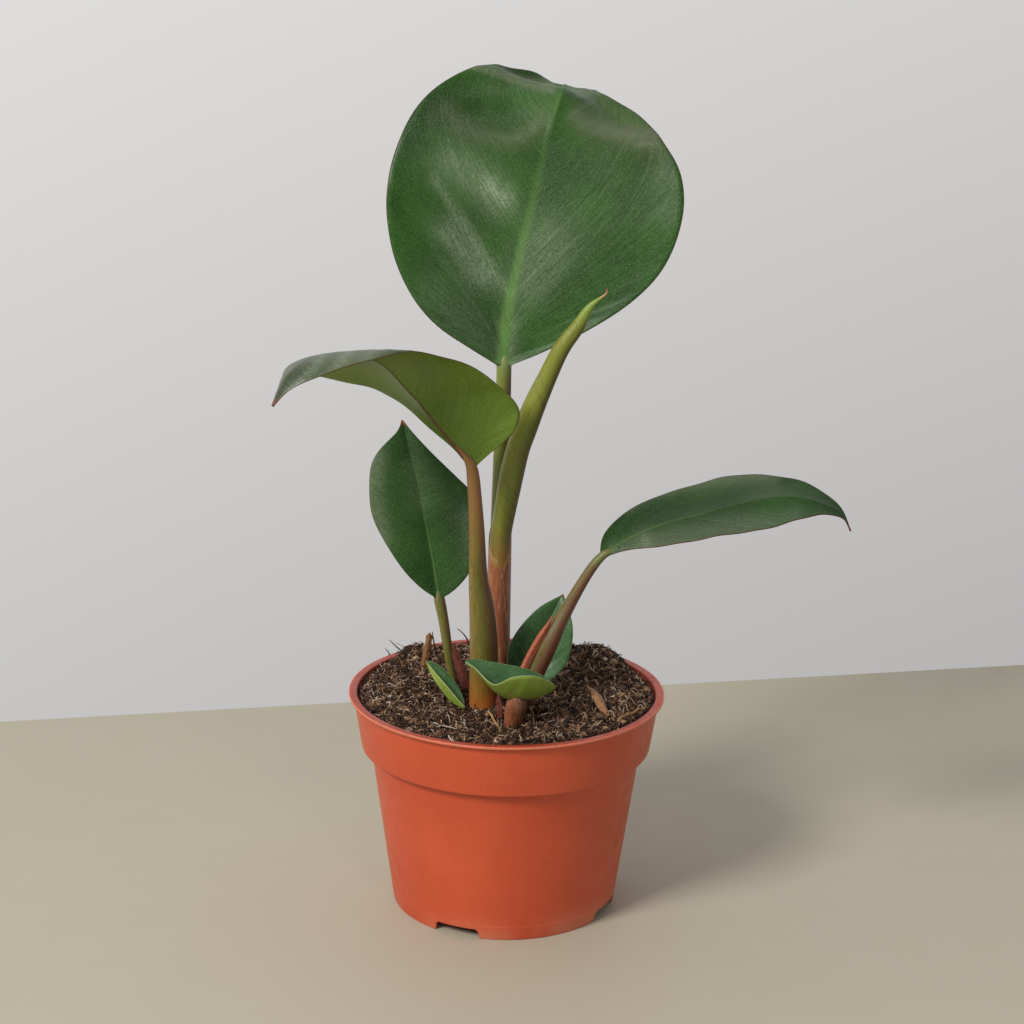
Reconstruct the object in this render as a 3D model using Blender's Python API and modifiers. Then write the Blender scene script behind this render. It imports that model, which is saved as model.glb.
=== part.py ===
"""Potted philodendron: a 12 cm plastic nursery pot with soil and a young plant.

Units are metres and +Z is up. Lists of plant points are millimetres from the middle of the soil surface.
The origin is the bottom centre of the whole object's box.
"""

import math

import bmesh
import bpy
from mathutils import Vector

MM = 0.001

# Pot, a turned plastic shell
POT_HEIGHT = 0.0837
POT_TOP_RADIUS = 0.0600
POT_WALL = 0.0013
LIP_THICKNESS = 0.0015
LIP_OVERHANG = 0.0020
COLLAR_HEIGHT = 0.0213
COLLAR_TAPER = 0.0031
LEDGE_WIDTH = 0.0034
BODY_BASE_RADIUS = 0.0435
FOOT_HEIGHT = 0.0055
FOOT_STEP = 0.0004
FOOT_TAPER = 0.0009
FLOOR_THICKNESS = 0.0015
EDGE_CHAMFER = 0.0004
POT_SEGMENTS = 48

# Drainage
NOTCH_COUNT = 4
NOTCH_FIRST_ANGLE = -24.0
NOTCH_SPAN = 27.0
NOTCH_HEIGHT = 0.0040
NOTCH_SLANT = 0.85
DRAIN_HOLE_RADIUS = 0.0045
DRAIN_HOLE_INSET = 0.0110

# Soil
FIT_GAP = 0.0003
SOIL_BELOW_RIM = 0.0024
SOIL_MOUND = 0.0026
SOIL_SEGMENTS = 48
# Shares of the edge radius, and how much of the mound's height the surface has dropped there
MOUND_DROPS = [(0.0, 0.0), (0.50, 0.02), (0.70, 0.15), (0.86, 0.50), (1.0, 1.0)]

# Plant
PLANT_SCALE = 1.0
LEAF_THICKNESS = 0.0008
SHEATH_THICKNESS = 0.0006
SOCKET_DEPTH = 0.0100
SOCKET_GAP = 0.0004
STEM_BEVEL_RESOLUTION = 3
ROUTE_STEPS = 3
BLADE_STEPS = 2
BLADE_HALF_COLUMNS = 4

SOIL_TOP = POT_HEIGHT - SOIL_BELOW_RIM + SOIL_MOUND

# Each blade is a loft over its left margin, its midrib and its right margin, from the petiole to the tip.
# "cup" bows each half towards the upper side, as a share of the half's width.
BLADES = {
    "top_leaf_blade": {
        "left": [(-5.5, 11, 123.5), (-16, 10, 130), (-27.5, 9, 138), (-37, 9, 149), (-43.5, 10, 163.5),
                 (-46.5, 12, 180), (-45.5, 16, 195), (-39, 22, 212), (-29.5, 30, 223), (-14.5, 40, 230),
                 (-3, 52, 228.5), (9, 64, 225), (18, 74, 216)],
        "midrib": [(-3, 12, 123.5), (-3, 13, 128), (-2.5, 14, 134), (-1.5, 15, 143.5), (0.5, 17, 154),
                   (4, 20, 170), (8, 23, 187), (11.5, 27, 202.5), (15, 32, 215), (17.5, 40, 221),
                   (18.5, 54, 223), (19, 68, 222), (20, 76, 214)],
        "right": [(-0.5, 11, 123.5), (12.5, 11, 129), (28.5, 10, 137.5), (44, 10, 148.5), (55, 11, 160.5),
                  (61.5, 13, 177.5), (61, 18, 193.5), (54, 24, 205.5), (49.5, 34, 209.5), (42, 44, 215),
                  (33, 54, 219), (29, 64, 219), (22, 74, 212)],
        "cup": -0.04,
        "colour": (0.035, 0.110, 0.035),
    },
    "left_leaf_blade": {
        "left": [(-14.5, -18, 92.5), (-18, -14, 95), (-23.5, -8, 98.5), (-30.5, -4, 104), (-38, -2, 110),
                 (-45.5, -3, 115), (-54, -8, 119), (-65, -16, 123.5), (-75, -26, 128.5), (-79, -38, 131.5),
                 (-79, -50, 129.5), (-80, -61, 127.5), (-81, -68, 126)],
        "midrib": [(-13.5, -18.5, 92.5), (-16.5, -19.5, 95.5), (-21.5, -21, 102.5), (-27, -23, 109.5),
                   (-32.5, -26, 117.5), (-38, -30, 124.5), (-46, -36, 135), (-57.5, -46, 139.5),
                   (-67, -52, 140), (-73, -61, 138), (-76.5, -65, 135), (-79, -67.5, 130),
                   (-80.5, -68.5, 125.5)],
        "right": [(-12, -18, 92.5), (-7, -14, 96.5), (0.5, -11, 102), (4, -10, 111), (-2, -13, 119),
                  (-12.5, -22, 130), (-24.5, -33, 136), (-37, -45, 140), (-46.5, -58, 140),
                  (-56.5, -64, 139), (-65.5, -68, 136), (-74.5, -69, 132), (-80, -69, 126)],
        "cup": -0.05,
        "colour": (0.090, 0.160, 0.030),
    },
    "lower_left_leaf_blade": {
        "left": [(-27.5, 5, 34.5), (-32.5, 4, 38), (-39.5, 3, 45.5), (-46.5, 2, 57), (-51.5, 3, 67),
                 (-52.5, 5, 76.5), (-52, 8, 86), (-47.5, 12, 92), (-42.5, 16, 96), (-41, 18.5, 100)],
        "midrib": [(-26.5, 6, 34), (-27, 6.5, 38), (-28, 7.5, 44.5), (-30, 9, 55), (-32, 10.5, 64.5),
                   (-34, 12, 74.5), (-36.5, 14, 84.5), (-39, 16, 92.5), (-40, 18, 97), (-41, 18.5, 100)],
        "right": [(-24.5, 5, 34.5), (-20, 4, 38), (-14.5, 3, 45), (-11, 2, 54.5), (-9.5, 3, 64.5),
                  (-11, 5, 72.5), (-16.5, 8, 78), (-26.5, 12, 86), (-36, 16, 95), (-40.5, 18.5, 100)],
        "cup": 0.05,
        "colour": (0.030, 0.100, 0.040),
    },
    "right_leaf_blade": {
        "left": [(33.5, -17, 60.5), (34.5, -12, 65), (41, -5, 70.5), (54, 2, 76.5), (69, 6, 80),
                 (83.5, 7, 83.5), (97, 6, 84.5), (108.5, 0, 84), (117.5, -7, 80), (122, -13, 76.5),
                 (125, -16, 70)],
        "midrib": [(34.5, -18, 60), (38.5, -18, 62.5), (46, -18, 67), (56.5, -17.5, 71.5), (69.5, -17, 75),
                   (83.5, -16.5, 79), (96.5, -16, 82), (108, -16, 81.5), (117, -16, 78.5), (122, -16, 75.5),
                   (125, -16.5, 69.5)],
        "right": [(35.5, -19, 59), (40.5, -22, 62), (51, -30, 66.5), (62, -36, 70), (75.5, -38, 73),
                  (88.5, -37, 75.5), (100.5, -33, 77.5), (110, -27, 78), (117, -21, 77), (122, -18, 75),
                  (125, -17, 70)],
        "cup": -0.05,
        "colour": (0.035, 0.100, 0.040),
    },
    "small_back_leaf_blade": {
        "left": [(8.5, -8, 3.5), (3, -7.5, 7), (0, -6, 12.5), (1, -5, 20), (5, -3, 26.5), (12, -0.5, 33.5),
                 (20.5, 2.5, 37)],
        "midrib": [(9.5, -8, 3), (10, -6.5, 7.5), (11, -3, 11), (13, -1.5, 18.5), (15.5, 0, 26.5),
                   (18.5, 1.5, 33.5), (20.5, 2.5, 37.5)],
        "right": [(10.5, -8, 3.5), (17, -7.5, 7), (22.5, -6, 12.5), (24.5, -5, 20.5), (24.5, -3, 28),
                  (22.5, -0.5, 33), (21, 2.5, 37)],
        "cup": 0.06,
        "colour": (0.045, 0.130, 0.045),
    },
    "small_front_leaf_blade": {
        "left": [(-15, -32, 22.5), (-11.5, -30, 22.5), (-6.5, -29.5, 21.5), (-0.5, -29.5, 20.5),
                 (5, -29.5, 19.5), (11, -29.5, 17.5), (15, -31, 15.5), (18, -35, 14.5)],
        "midrib": [(-15, -33, 22.5), (-12, -36, 21.5), (-8.5, -38, 18.5), (-4, -38, 13), (2, -37, 9.5),
                   (8, -37, 10), (13, -37.5, 11.5), (18, -36, 14)],
        "right": [(-14.5, -34, 22.5), (-11.5, -38, 22), (-8, -41, 19.5), (-4, -44, 17.5), (1, -47, 21.5),
                  (7, -47, 22.5), (12.5, -44, 21), (18.5, -37, 15)],
        "cup": -0.10,
        "colour": (0.120, 0.230, 0.040),
    },
    "tiny_left_leaf": {
        "left": [(-30, -13, 15.5), (-26.5, -12.5, 14.5), (-23, -13, 12), (-19, -15.5, 8), (-16, -19, 3.5),
                 (-15.5, -23.5, 1.5)],
        "midrib": [(-30, -13.5, 15), (-28, -15.5, 11), (-24.5, -18.5, 7), (-21, -21, 3), (-17, -23.5, 1.5),
                   (-15.5, -24, 1)],
        "right": [(-29.5, -13.5, 15), (-27, -16, 12.5), (-23, -20, 9.5), (-19, -23, 5.5), (-16, -24.5, 2.5),
                  (-15, -24.5, 1.5)],
        "cup": -0.10,
        "colour": (0.150, 0.300, 0.050),
    },
    "right_petiole_wing": {
        "left": [(15.3, -23.2, 37.5), (12.9, -23.6, 33.5), (8, -25, 27), (4, -26.2, 18.4), (1.2, -27.2, 9)],
        "midrib": [(15.8, -23.6, 37.3), (13.4, -24.4, 33), (8.8, -26, 26.4), (5, -27.4, 18), (2.2, -28.6, 9)],
        "right": [(16.3, -24, 37), (14.2, -25, 32.6), (9.8, -26.8, 26), (6.2, -28.2, 17.6), (3.4, -29.4, 9)],
        "cup": 0.0,
        "colour": (0.350, 0.080, 0.040),
    },
    "dried_sheath_left": {
        "left": [(-21.4, -0.5, 17.5), (-20.4, -0.8, 12), (-18.6, -1.6, 6), (-17.2, -2.2, 1)],
        "midrib": [(-20.4, -1.6, 17.8), (-18.6, -2.2, 12), (-16.6, -3.2, 6), (-15.4, -3.8, 1)],
        "right": [(-19.2, -1, 17.4), (-16.8, -1.4, 12), (-14.6, -2.2, 6), (-13.4, -2.6, 1)],
        "cup": 0.0,
        "colour": (0.130, 0.025, 0.025),
    },
    "dried_sheath_front": {
        "left": [(-3.8, -33.2, 10), (-3.8, -33.2, 7), (-3.4, -33, 4), (-3, -32.6, 1)],
        "midrib": [(-2.8, -34.2, 10.4), (-2.6, -34.2, 7), (-2.4, -34, 4), (-2.2, -33.6, 1)],
        "right": [(-1.8, -34.6, 9.8), (-1.4, -34.6, 7), (-1.4, -34.6, 4), (-1.4, -34.4, 1)],
        "cup": 0.0,
        "colour": (0.120, 0.020, 0.030),
    },
    "dried_stub_back": {
        "left": [(-31.2, 19, 15.5), (-32, 19.6, 10), (-33, 20.8, 5), (-33.6, 21.6, 1)],
        "midrib": [(-30, 18.4, 15.8), (-30.8, 19, 10), (-31.8, 20, 5), (-32.4, 20.8, 1)],
        "right": [(-28.8, 19, 15.2), (-29.4, 19.8, 10), (-30.2, 20.8, 5), (-31, 21.6, 1)],
        "cup": 0.0,
        "colour": (0.420, 0.220, 0.120),
    },
}

# Loose litter lies on the soil. Its points are shares of the soil's edge radius, and heights above it in mm.
LITTER_SHEETS = {
    "dry_leaf_flake": {
        "left": [(0.52, 0.05, 0.8), (0.56, -0.11, 1.2), (0.58, -0.25, 1.2), (0.60, -0.39, 1.0),
                 (0.66, -0.51, 0.8)],
        "midrib": [(0.535, 0.05, 1.0), (0.59, -0.11, 2.2), (0.615, -0.25, 2.2), (0.635, -0.39, 1.8),
                   (0.67, -0.505, 1.0)],
        "right": [(0.55, 0.05, 0.8), (0.62, -0.11, 1.2), (0.65, -0.25, 1.2), (0.66, -0.39, 1.0),
                  (0.68, -0.50, 0.8)],
        "cup": 0.0,
        "colour": (0.300, 0.180, 0.100),
    },
}
LITTER_STRANDS = {
    "root_strand": {
        "route": [(0.72, -0.59, 1.0), (0.77, -0.49, 1.6), (0.82, -0.43, 1.2), (0.89, -0.35, 1.4),
                  (0.935, -0.25, 1.0)],
        "radii": [0.35, 0.45, 0.4, 0.4, 0.3],
        "colour": (0.450, 0.300, 0.200),
    },
    "front_twig": {
        "route": [(-0.135, -0.52, 1.0), (-0.09, -0.575, 1.5), (-0.03, -0.735, 1.0)],
        "radii": [0.4, 0.45, 0.35],
        "colour": (0.450, 0.330, 0.250),
    },
}

# Each stem is a tube along its route, from the soil up, with its radius in millimetres at each point.
# Below its first point it goes straight down into a socket in the soil.
STEMS = {
    "top_leaf_petiole": {
        "route": [(-3.7, 11.5, 0), (-4, 11.5, 31.5), (-4, 11.5, 55.5), (-3.5, 12, 79), (-3, 12.5, 102),
                  (-2.7, 12.5, 122.8)],
        "radii": [3.2, 3.2, 3.1, 3.0, 2.9, 2.9],
        "colour": (0.150, 0.160, 0.050),
    },
    "rolled_new_leaf": {
        "route": [(-3.6, 3.6, 0), (-3.4, 3.8, 30), (-3, 4, 57), (-1.5, 3.5, 69.5), (0.5, 3, 82), (3, 2.5, 94),
                  (5.5, 2, 101), (8.5, 1.5, 110), (14, 1, 123), (18.5, 0, 133), (24, -0.5, 140.5),
                  (27.5, -1, 147.5), (32, -1.5, 152.5), (34, -2, 155)],
        "radii": [3.0, 3.4, 3.7, 4.1, 4.5, 4.4, 4.3, 4.1, 3.4, 3.0, 2.6, 2.2, 1.2, 0.4],
        "colour": (0.250, 0.270, 0.030),
    },
    "left_leaf_petiole": {
        "route": [(-8.5, -18, 0), (-8.5, -18, 22), (-9.5, -18, 39.5), (-11, -18, 49), (-11.5, -18, 65.5),
                  (-12.5, -18, 79.5), (-13.5, -18, 91.5)],
        "radii": [5.2, 5.2, 4.5, 3.5, 2.9, 2.5, 2.2],
        "colour": (0.230, 0.160, 0.040),
    },
    "lower_left_leaf_petiole": {
        "route": [(-20, 3, 0), (-21.5, 3.5, 7.5), (-23, 4.5, 17), (-24.5, 5.5, 26.5), (-26, 6, 33.2)],
        "radii": [1.6, 1.6, 1.8, 2.0, 2.1],
        "colour": (0.200, 0.190, 0.050),
    },
    "right_leaf_petiole": {
        "route": [(4, -24.6, 0), (5.5, -24.5, 6.5), (9.5, -23, 17.5), (15, -22, 27), (21.5, -20.5, 37),
                  (28.5, -19, 50.5), (33, -18.1, 57.4)],
        "radii": [3.3, 3.3, 3.1, 2.5, 1.9, 1.7, 1.6],
        "colour": (0.260, 0.110, 0.040),
    },
    "small_back_leaf_petiole": {
        "route": [(9, -9.5, 0), (9.4, -8.4, 2.4)],
        "radii": [1.2, 1.1],
        "colour": (0.200, 0.190, 0.060),
    },
    "small_front_leaf_stem": {
        "route": [(2.4, -36, 0), (3.2, -36.5, 4.5), (3.8, -37, 8)],
        "radii": [3.1, 3.5, 3.6],
        "colour": (0.300, 0.110, 0.060),
    },
}

# The sheath wraps the top leaf's petiole and the rolled leaf. Its section is a superellipse,
# open at the back.
SHEATH_CENTRE = [(-3.7, 7.5, 1), (-3.7, 7.5, 28), (-3.3, 7.6, 57)]
SHEATH_RADII = (4.8, 8.9)
SHEATH_POWER = 3.0
SHEATH_SLIT = 40.0
SHEATH_TOP_SLANT = 5.0
SHEATH_ROWS = 7
SHEATH_COLUMNS = 20
SHEATH_COLOUR = (0.280, 0.120, 0.060)


def clear_scene():
    for obj in list(bpy.data.objects):
        bpy.data.objects.remove(obj, do_unlink=True)


def new_collection(name):
    collection = bpy.data.collections.new(name)
    bpy.context.scene.collection.children.link(collection)
    return collection


def plain_material(name, colour, roughness):
    material = bpy.data.materials.new(name)
    material.use_nodes = True
    shader = material.node_tree.nodes["Principled BSDF"]
    shader.inputs["Base Color"].default_value = (*colour, 1.0)
    shader.inputs["Roughness"].default_value = roughness
    shader.inputs["Metallic"].default_value = 0.0
    return material


def plant_point(point):
    """A plant point in metres, from millimetres about the middle of the soil surface."""
    x, y, z = (value * MM * PLANT_SCALE for value in point)
    return Vector((x, y, SOIL_TOP + z))


def soil_edge():
    """Radius and height of the soil's edge, where it meets the pot's inner wall."""
    _, _, collar, rim = inner_wall()
    height = POT_HEIGHT - SOIL_BELOW_RIM
    share = (height - collar[1]) / (rim[1] - collar[1])
    return collar[0] + (rim[0] - collar[0]) * share - FIT_GAP, height


def soil_height(share):
    """Height of the soil at a share of its edge radius, between the points of the mound."""
    for (near, near_drop), (far, far_drop) in zip(MOUND_DROPS, MOUND_DROPS[1:]):
        if share <= far:
            drop = near_drop + (far_drop - near_drop) * (share - near) / (far - near)
            return SOIL_TOP - drop * SOIL_MOUND
    return SOIL_TOP - SOIL_MOUND


def litter_point(point):
    """A litter point in metres, from shares of the soil's edge radius and millimetres above the soil."""
    x, y, above = point
    radius, _ = soil_edge()
    return Vector((x * radius, y * radius, soil_height(math.hypot(x, y)) + above * MM))


def smooth_route(points, steps):
    """Points on a Catmull-Rom curve through the given ones, with this many steps between neighbours."""
    ends = [2 * points[0] - points[1], *points, 2 * points[-1] - points[-2]]
    route = []
    for before, start, end, after in zip(ends, ends[1:], ends[2:], ends[3:]):
        for step in range(steps):
            t = step / steps
            route.append(
                0.5 * (2 * start + (end - before) * t + (2 * before - 5 * start + 4 * end - after) * t**2
                       + (3 * start - before - 3 * end + after) * t**3)
            )
    route.append(points[-1].copy())
    return route


def smooth_values(values, steps):
    return [v.x for v in smooth_route([Vector((value, 0.0, 0.0)) for value in values], steps)]


def link_mesh(name, mesh, collection):
    obj = bpy.data.objects.new(name, mesh)
    collection.objects.link(obj)
    return obj


def add_sheet(name, rows, thickness, colour, collection):
    """A closed sheet of even thickness over rows of points, from Solidify on the open surface."""
    mesh = bpy.data.meshes.new(name)
    work = bmesh.new()
    grid = [[work.verts.new(point) for point in row] for row in rows]
    for lower, upper in zip(grid, grid[1:]):
        for column in range(len(lower) - 1):
            work.faces.new((lower[column], lower[column + 1], upper[column + 1], upper[column]))
    work.to_mesh(mesh)
    work.free()
    mesh.shade_smooth()
    obj = link_mesh(name, mesh, collection)
    solid = obj.modifiers.new("thickness", "SOLIDIFY")
    solid.thickness = thickness
    solid.offset = 0.0
    obj.data.materials.append(plain_material(name, colour, 0.4))
    return obj


def blade_rows(shape, place):
    """Rows across a blade, each from the left margin over the midrib to the right margin."""
    left, middle, right = (
        smooth_route([place(point) for point in shape[line]], BLADE_STEPS)
        for line in ("left", "midrib", "right")
    )
    rows = []
    for index, (a, m, b) in enumerate(zip(left, middle, right)):
        ahead = middle[min(index + 1, len(middle) - 1)] - middle[max(index - 1, 0)]
        upper = (b - a).cross(ahead).normalized()
        row = []
        for column in range(-BLADE_HALF_COLUMNS, BLADE_HALF_COLUMNS + 1):
            share = abs(column) / BLADE_HALF_COLUMNS
            margin = a if column < 0 else b
            bow = 4 * share * (1 - share) * shape["cup"] * (margin - m).length
            row.append(m.lerp(margin, share) + upper * bow)
        rows.append(row)
    return rows


def tube_curve(name, route, radii, collection):
    """A round tube through the points, with its own radius in millimetres at each."""
    curve = bpy.data.curves.new(name, "CURVE")
    curve.dimensions = "3D"
    curve.bevel_depth = MM
    curve.bevel_resolution = STEM_BEVEL_RESOLUTION
    curve.use_fill_caps = True
    spline = curve.splines.new("POLY")
    spline.points.add(len(route) - 1)
    for target, point, radius in zip(spline.points, route, radii):
        target.co = (*point, 1.0)
        target.radius = radius
    obj = bpy.data.objects.new(name, curve)
    collection.objects.link(obj)
    return obj


def stem_route(stem):
    """The stem's smooth route and radii, from the bottom of its socket up."""
    route = smooth_route([plant_point(point) for point in stem["route"]], ROUTE_STEPS)
    sizes = smooth_values([radius * PLANT_SCALE for radius in stem["radii"]], ROUTE_STEPS)
    foot = route[0] - Vector((0.0, 0.0, SOCKET_DEPTH))
    return [foot, *route], [sizes[0], *sizes]


def add_stem(name, stem, collection):
    route, sizes = stem_route(stem)
    obj = tube_curve(name, route, sizes, collection)
    obj.data.materials.append(plain_material(name, stem["colour"], 0.45))
    return obj


def add_strand(name, strand, collection):
    route = smooth_route([litter_point(point) for point in strand["route"]], ROUTE_STEPS)
    obj = tube_curve(name, route, smooth_values(strand["radii"], ROUTE_STEPS), collection)
    obj.data.materials.append(plain_material(name, strand["colour"], 0.8))


def add_socket_cutter(name, stem, cutters):
    """A closed mesh a little wider and deeper than the stem's foot, for its hole in the soil."""
    route, sizes = stem_route(stem)
    below = route[0] - Vector((0.0, 0.0, SOCKET_GAP))
    above = route[1] + Vector((0.0, 0.0, SOCKET_DEPTH))
    wide = sizes[0] + SOCKET_GAP / MM
    curve = tube_curve(name, [below, above], [wide, wide], cutters)
    graph = bpy.context.evaluated_depsgraph_get()
    mesh = bpy.data.meshes.new_from_object(curve.evaluated_get(graph))
    work = bmesh.new()
    work.from_mesh(mesh)
    bmesh.ops.remove_doubles(work, verts=work.verts, dist=MM / 100)
    bmesh.ops.recalc_face_normals(work, faces=work.faces)
    work.to_mesh(mesh)
    work.free()
    bpy.data.objects.remove(curve, do_unlink=True)
    cutter = link_mesh(name, mesh, cutters)
    hide_cutter(cutter)
    return cutter


def hide_cutter(cutter):
    cutter.hide_render = True
    cutter.display_type = "WIRE"


def cut(obj, cutter):
    boolean = obj.modifiers.new(cutter.name, "BOOLEAN")
    boolean.operation = "DIFFERENCE"
    boolean.solver = "EXACT"
    boolean.object = cutter


def turned(name, profile, segments, collection):
    """A solid of revolution about Z from an (r, z) profile."""
    mesh = bpy.data.meshes.new(name)
    work = bmesh.new()
    verts = [work.verts.new((radius, 0.0, height)) for radius, height in profile]
    for start, end in zip(verts, verts[1:]):
        work.edges.new((start, end))
    work.to_mesh(mesh)
    work.free()
    obj = link_mesh(name, mesh, collection)
    screw = obj.modifiers.new("turn", "SCREW")
    screw.axis = "Z"
    screw.steps = segments
    screw.render_steps = segments
    screw.use_merge_vertices = True
    screw.merge_threshold = 1e-5
    screw.use_smooth_shade = True
    return obj


def pot_sizes():
    """Outer radii where the pot's wall changes direction, and the height of the collar's lower edge."""
    collar_top = POT_TOP_RADIUS - LIP_OVERHANG
    collar_bottom = collar_top - COLLAR_TAPER
    body_top = collar_bottom - LEDGE_WIDTH
    collar_z = POT_HEIGHT - COLLAR_HEIGHT
    return collar_top, collar_bottom, body_top, collar_z


def inner_wall():
    """The pot's inner wall, floor up, as (r, z) points."""
    collar_top, collar_bottom, body_top, collar_z = pot_sizes()
    return [
        (BODY_BASE_RADIUS - POT_WALL, FOOT_HEIGHT + FLOOR_THICKNESS),
        (body_top - POT_WALL, collar_z + POT_WALL),
        (collar_bottom - POT_WALL, collar_z + POT_WALL),
        (collar_top - POT_WALL, POT_HEIGHT),
    ]


def add_pot(collection, cutters):
    collar_top, collar_bottom, body_top, collar_z = pot_sizes()
    floor_top = FOOT_HEIGHT + FLOOR_THICKNESS
    lip_bottom = POT_HEIGHT - LIP_THICKNESS
    foot_top_radius = BODY_BASE_RADIUS + FOOT_STEP - FOOT_TAPER / 2
    foot_radius = BODY_BASE_RADIUS - FOOT_TAPER
    chamfer = EDGE_CHAMFER
    inner = inner_wall()
    profile = [
        (0.0, floor_top),
        *inner[:-1],
        (inner[-1][0], POT_HEIGHT - chamfer),
        (inner[-1][0] + chamfer, POT_HEIGHT),
        (POT_TOP_RADIUS - chamfer, POT_HEIGHT),
        (POT_TOP_RADIUS, POT_HEIGHT - chamfer),
        (POT_TOP_RADIUS, lip_bottom + chamfer),
        (POT_TOP_RADIUS - chamfer, lip_bottom),
        (collar_top, lip_bottom),
        (collar_bottom, collar_z + chamfer),
        (collar_bottom - chamfer, collar_z),
        (body_top, collar_z),
        (BODY_BASE_RADIUS, FOOT_HEIGHT + chamfer),
        (foot_top_radius, FOOT_HEIGHT),
        (foot_top_radius, FOOT_HEIGHT - chamfer),
        (foot_radius, 0.0),
        (foot_radius - POT_WALL, 0.0),
        (foot_radius - POT_WALL, FOOT_HEIGHT),
        (0.0, FOOT_HEIGHT),
    ]
    pot = turned("pot", profile, POT_SEGMENTS, collection)
    pot.data.materials.append(plain_material("pot_plastic", (0.480, 0.095, 0.040), 0.5))
    for index in range(NOTCH_COUNT):
        angle = math.radians(NOTCH_FIRST_ANGLE - 90 + index * 360 / NOTCH_COUNT)
        cut(pot, add_notch_cutter(index, angle, foot_radius, cutters))
        cut(pot, add_hole_cutter(index, angle, foot_radius, cutters))
    return pot


def add_notch_cutter(index, angle, foot_radius, cutters):
    """A block with slightly leaning sides, across the foot ring."""
    width = 2 * foot_radius * math.sin(math.radians(NOTCH_SPAN / 2))
    depth = 6 * POT_WALL
    mesh = bpy.data.meshes.new(f"notch_{index}")
    work = bmesh.new()
    bmesh.ops.create_cube(work, size=1.0)
    for vert in work.verts:
        lean = NOTCH_SLANT if vert.co.z > 0 else 1.0
        vert.co.x *= depth
        vert.co.y *= width * lean
        vert.co.z *= 2 * NOTCH_HEIGHT
    work.to_mesh(mesh)
    work.free()
    cutter = link_mesh(f"notch_{index}", mesh, cutters)
    middle = foot_radius * math.cos(math.radians(NOTCH_SPAN / 4))
    cutter.location = (middle * math.cos(angle), middle * math.sin(angle), 0.0)
    cutter.rotation_euler = (0.0, 0.0, angle)
    hide_cutter(cutter)
    return cutter


def add_hole_cutter(index, angle, foot_radius, cutters):
    """A round drain hole through the floor, just inside its notch."""
    mesh = bpy.data.meshes.new(f"drain_hole_{index}")
    work = bmesh.new()
    bmesh.ops.create_cone(
        work, cap_ends=True, segments=16, radius1=DRAIN_HOLE_RADIUS, radius2=DRAIN_HOLE_RADIUS,
        depth=4 * FLOOR_THICKNESS,
    )
    work.to_mesh(mesh)
    work.free()
    cutter = link_mesh(f"drain_hole_{index}", mesh, cutters)
    reach = foot_radius - DRAIN_HOLE_INSET
    cutter.location = (reach * math.cos(angle), reach * math.sin(angle), FOOT_HEIGHT + FLOOR_THICKNESS / 2)
    hide_cutter(cutter)
    return cutter


def soil_profile():
    """The soil fills the pot with a small gap to its wall, and rises a little towards the middle."""
    floor, body, collar, _ = inner_wall()
    edge_radius, _ = soil_edge()
    return [
        *((share * edge_radius, soil_height(share)) for share, _ in MOUND_DROPS),
        (collar[0] - FIT_GAP, collar[1] + FIT_GAP),
        (body[0] - FIT_GAP, body[1] + FIT_GAP),
        (floor[0] - FIT_GAP, floor[1] + FIT_GAP),
        (0.0, floor[1] + FIT_GAP),
    ]


def add_soil(collection, cutters):
    soil = turned("soil", soil_profile(), SOIL_SEGMENTS, collection)
    soil.data.materials.append(plain_material("peat", (0.035, 0.018, 0.010), 0.95))
    for name, stem in STEMS.items():
        cut(soil, add_socket_cutter(f"socket_{name}", stem, cutters))
    return soil


def sheath_rows():
    """Rows round the sheath, one above the other, the top one slanting down to the front."""
    centre = smooth_route([plant_point(point) for point in SHEATH_CENTRE], SHEATH_ROWS // 2)
    rows = []
    for index, middle in enumerate(centre):
        share = index / (len(centre) - 1)
        row = []
        for column in range(SHEATH_COLUMNS + 1):
            turn = math.radians(90 + SHEATH_SLIT / 2 + (360 - SHEATH_SLIT) * column / SHEATH_COLUMNS)
            cosine, sine = math.cos(turn), math.sin(turn)
            reach_x = math.copysign(abs(cosine) ** (2 / SHEATH_POWER), cosine)
            reach_y = math.copysign(abs(sine) ** (2 / SHEATH_POWER), sine)
            slant = SHEATH_TOP_SLANT * share**4 * sine
            offset = Vector((SHEATH_RADII[0] * reach_x, SHEATH_RADII[1] * reach_y, slant))
            row.append(middle + offset * MM * PLANT_SCALE)
        rows.append(row)
    return rows


def stand_on_origin(collection, helpers):
    """Moves the pieces and their cutters together, so that their box stands on the origin, centred on it."""
    bpy.context.view_layer.update()
    graph = bpy.context.evaluated_depsgraph_get()
    corners = []
    for obj in collection.objects:
        shape = obj.evaluated_get(graph)
        mesh = shape.to_mesh()
        corners.extend(shape.matrix_world @ vert.co for vert in mesh.vertices)
        shape.to_mesh_clear()
    low, high = (Vector(pick(corner[axis] for corner in corners) for axis in range(3)) for pick in (min, max))
    holder = bpy.data.objects.new("philodendron_origin", None)
    for obj in [*collection.objects, *helpers.objects]:
        obj.parent = holder
    collection.objects.link(holder)
    holder.location = -Vector(((low.x + high.x) / 2, (low.y + high.y) / 2, low.z))


def main():
    clear_scene()
    parts = new_collection("potted_philodendron")
    cutters = new_collection("cutters")
    add_pot(parts, cutters)
    add_soil(parts, cutters)
    for name, stem in STEMS.items():
        add_stem(name, stem, parts)
    for name, shape in BLADES.items():
        add_sheet(name, blade_rows(shape, plant_point), LEAF_THICKNESS, shape["colour"], parts)
    for name, shape in LITTER_SHEETS.items():
        add_sheet(name, blade_rows(shape, litter_point), LEAF_THICKNESS, shape["colour"], parts)
    for name, strand in LITTER_STRANDS.items():
        add_strand(name, strand, parts)
    add_sheet("stem_sheath", sheath_rows(), SHEATH_THICKNESS, SHEATH_COLOUR, parts)
    stand_on_origin(parts, cutters)


main()
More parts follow.
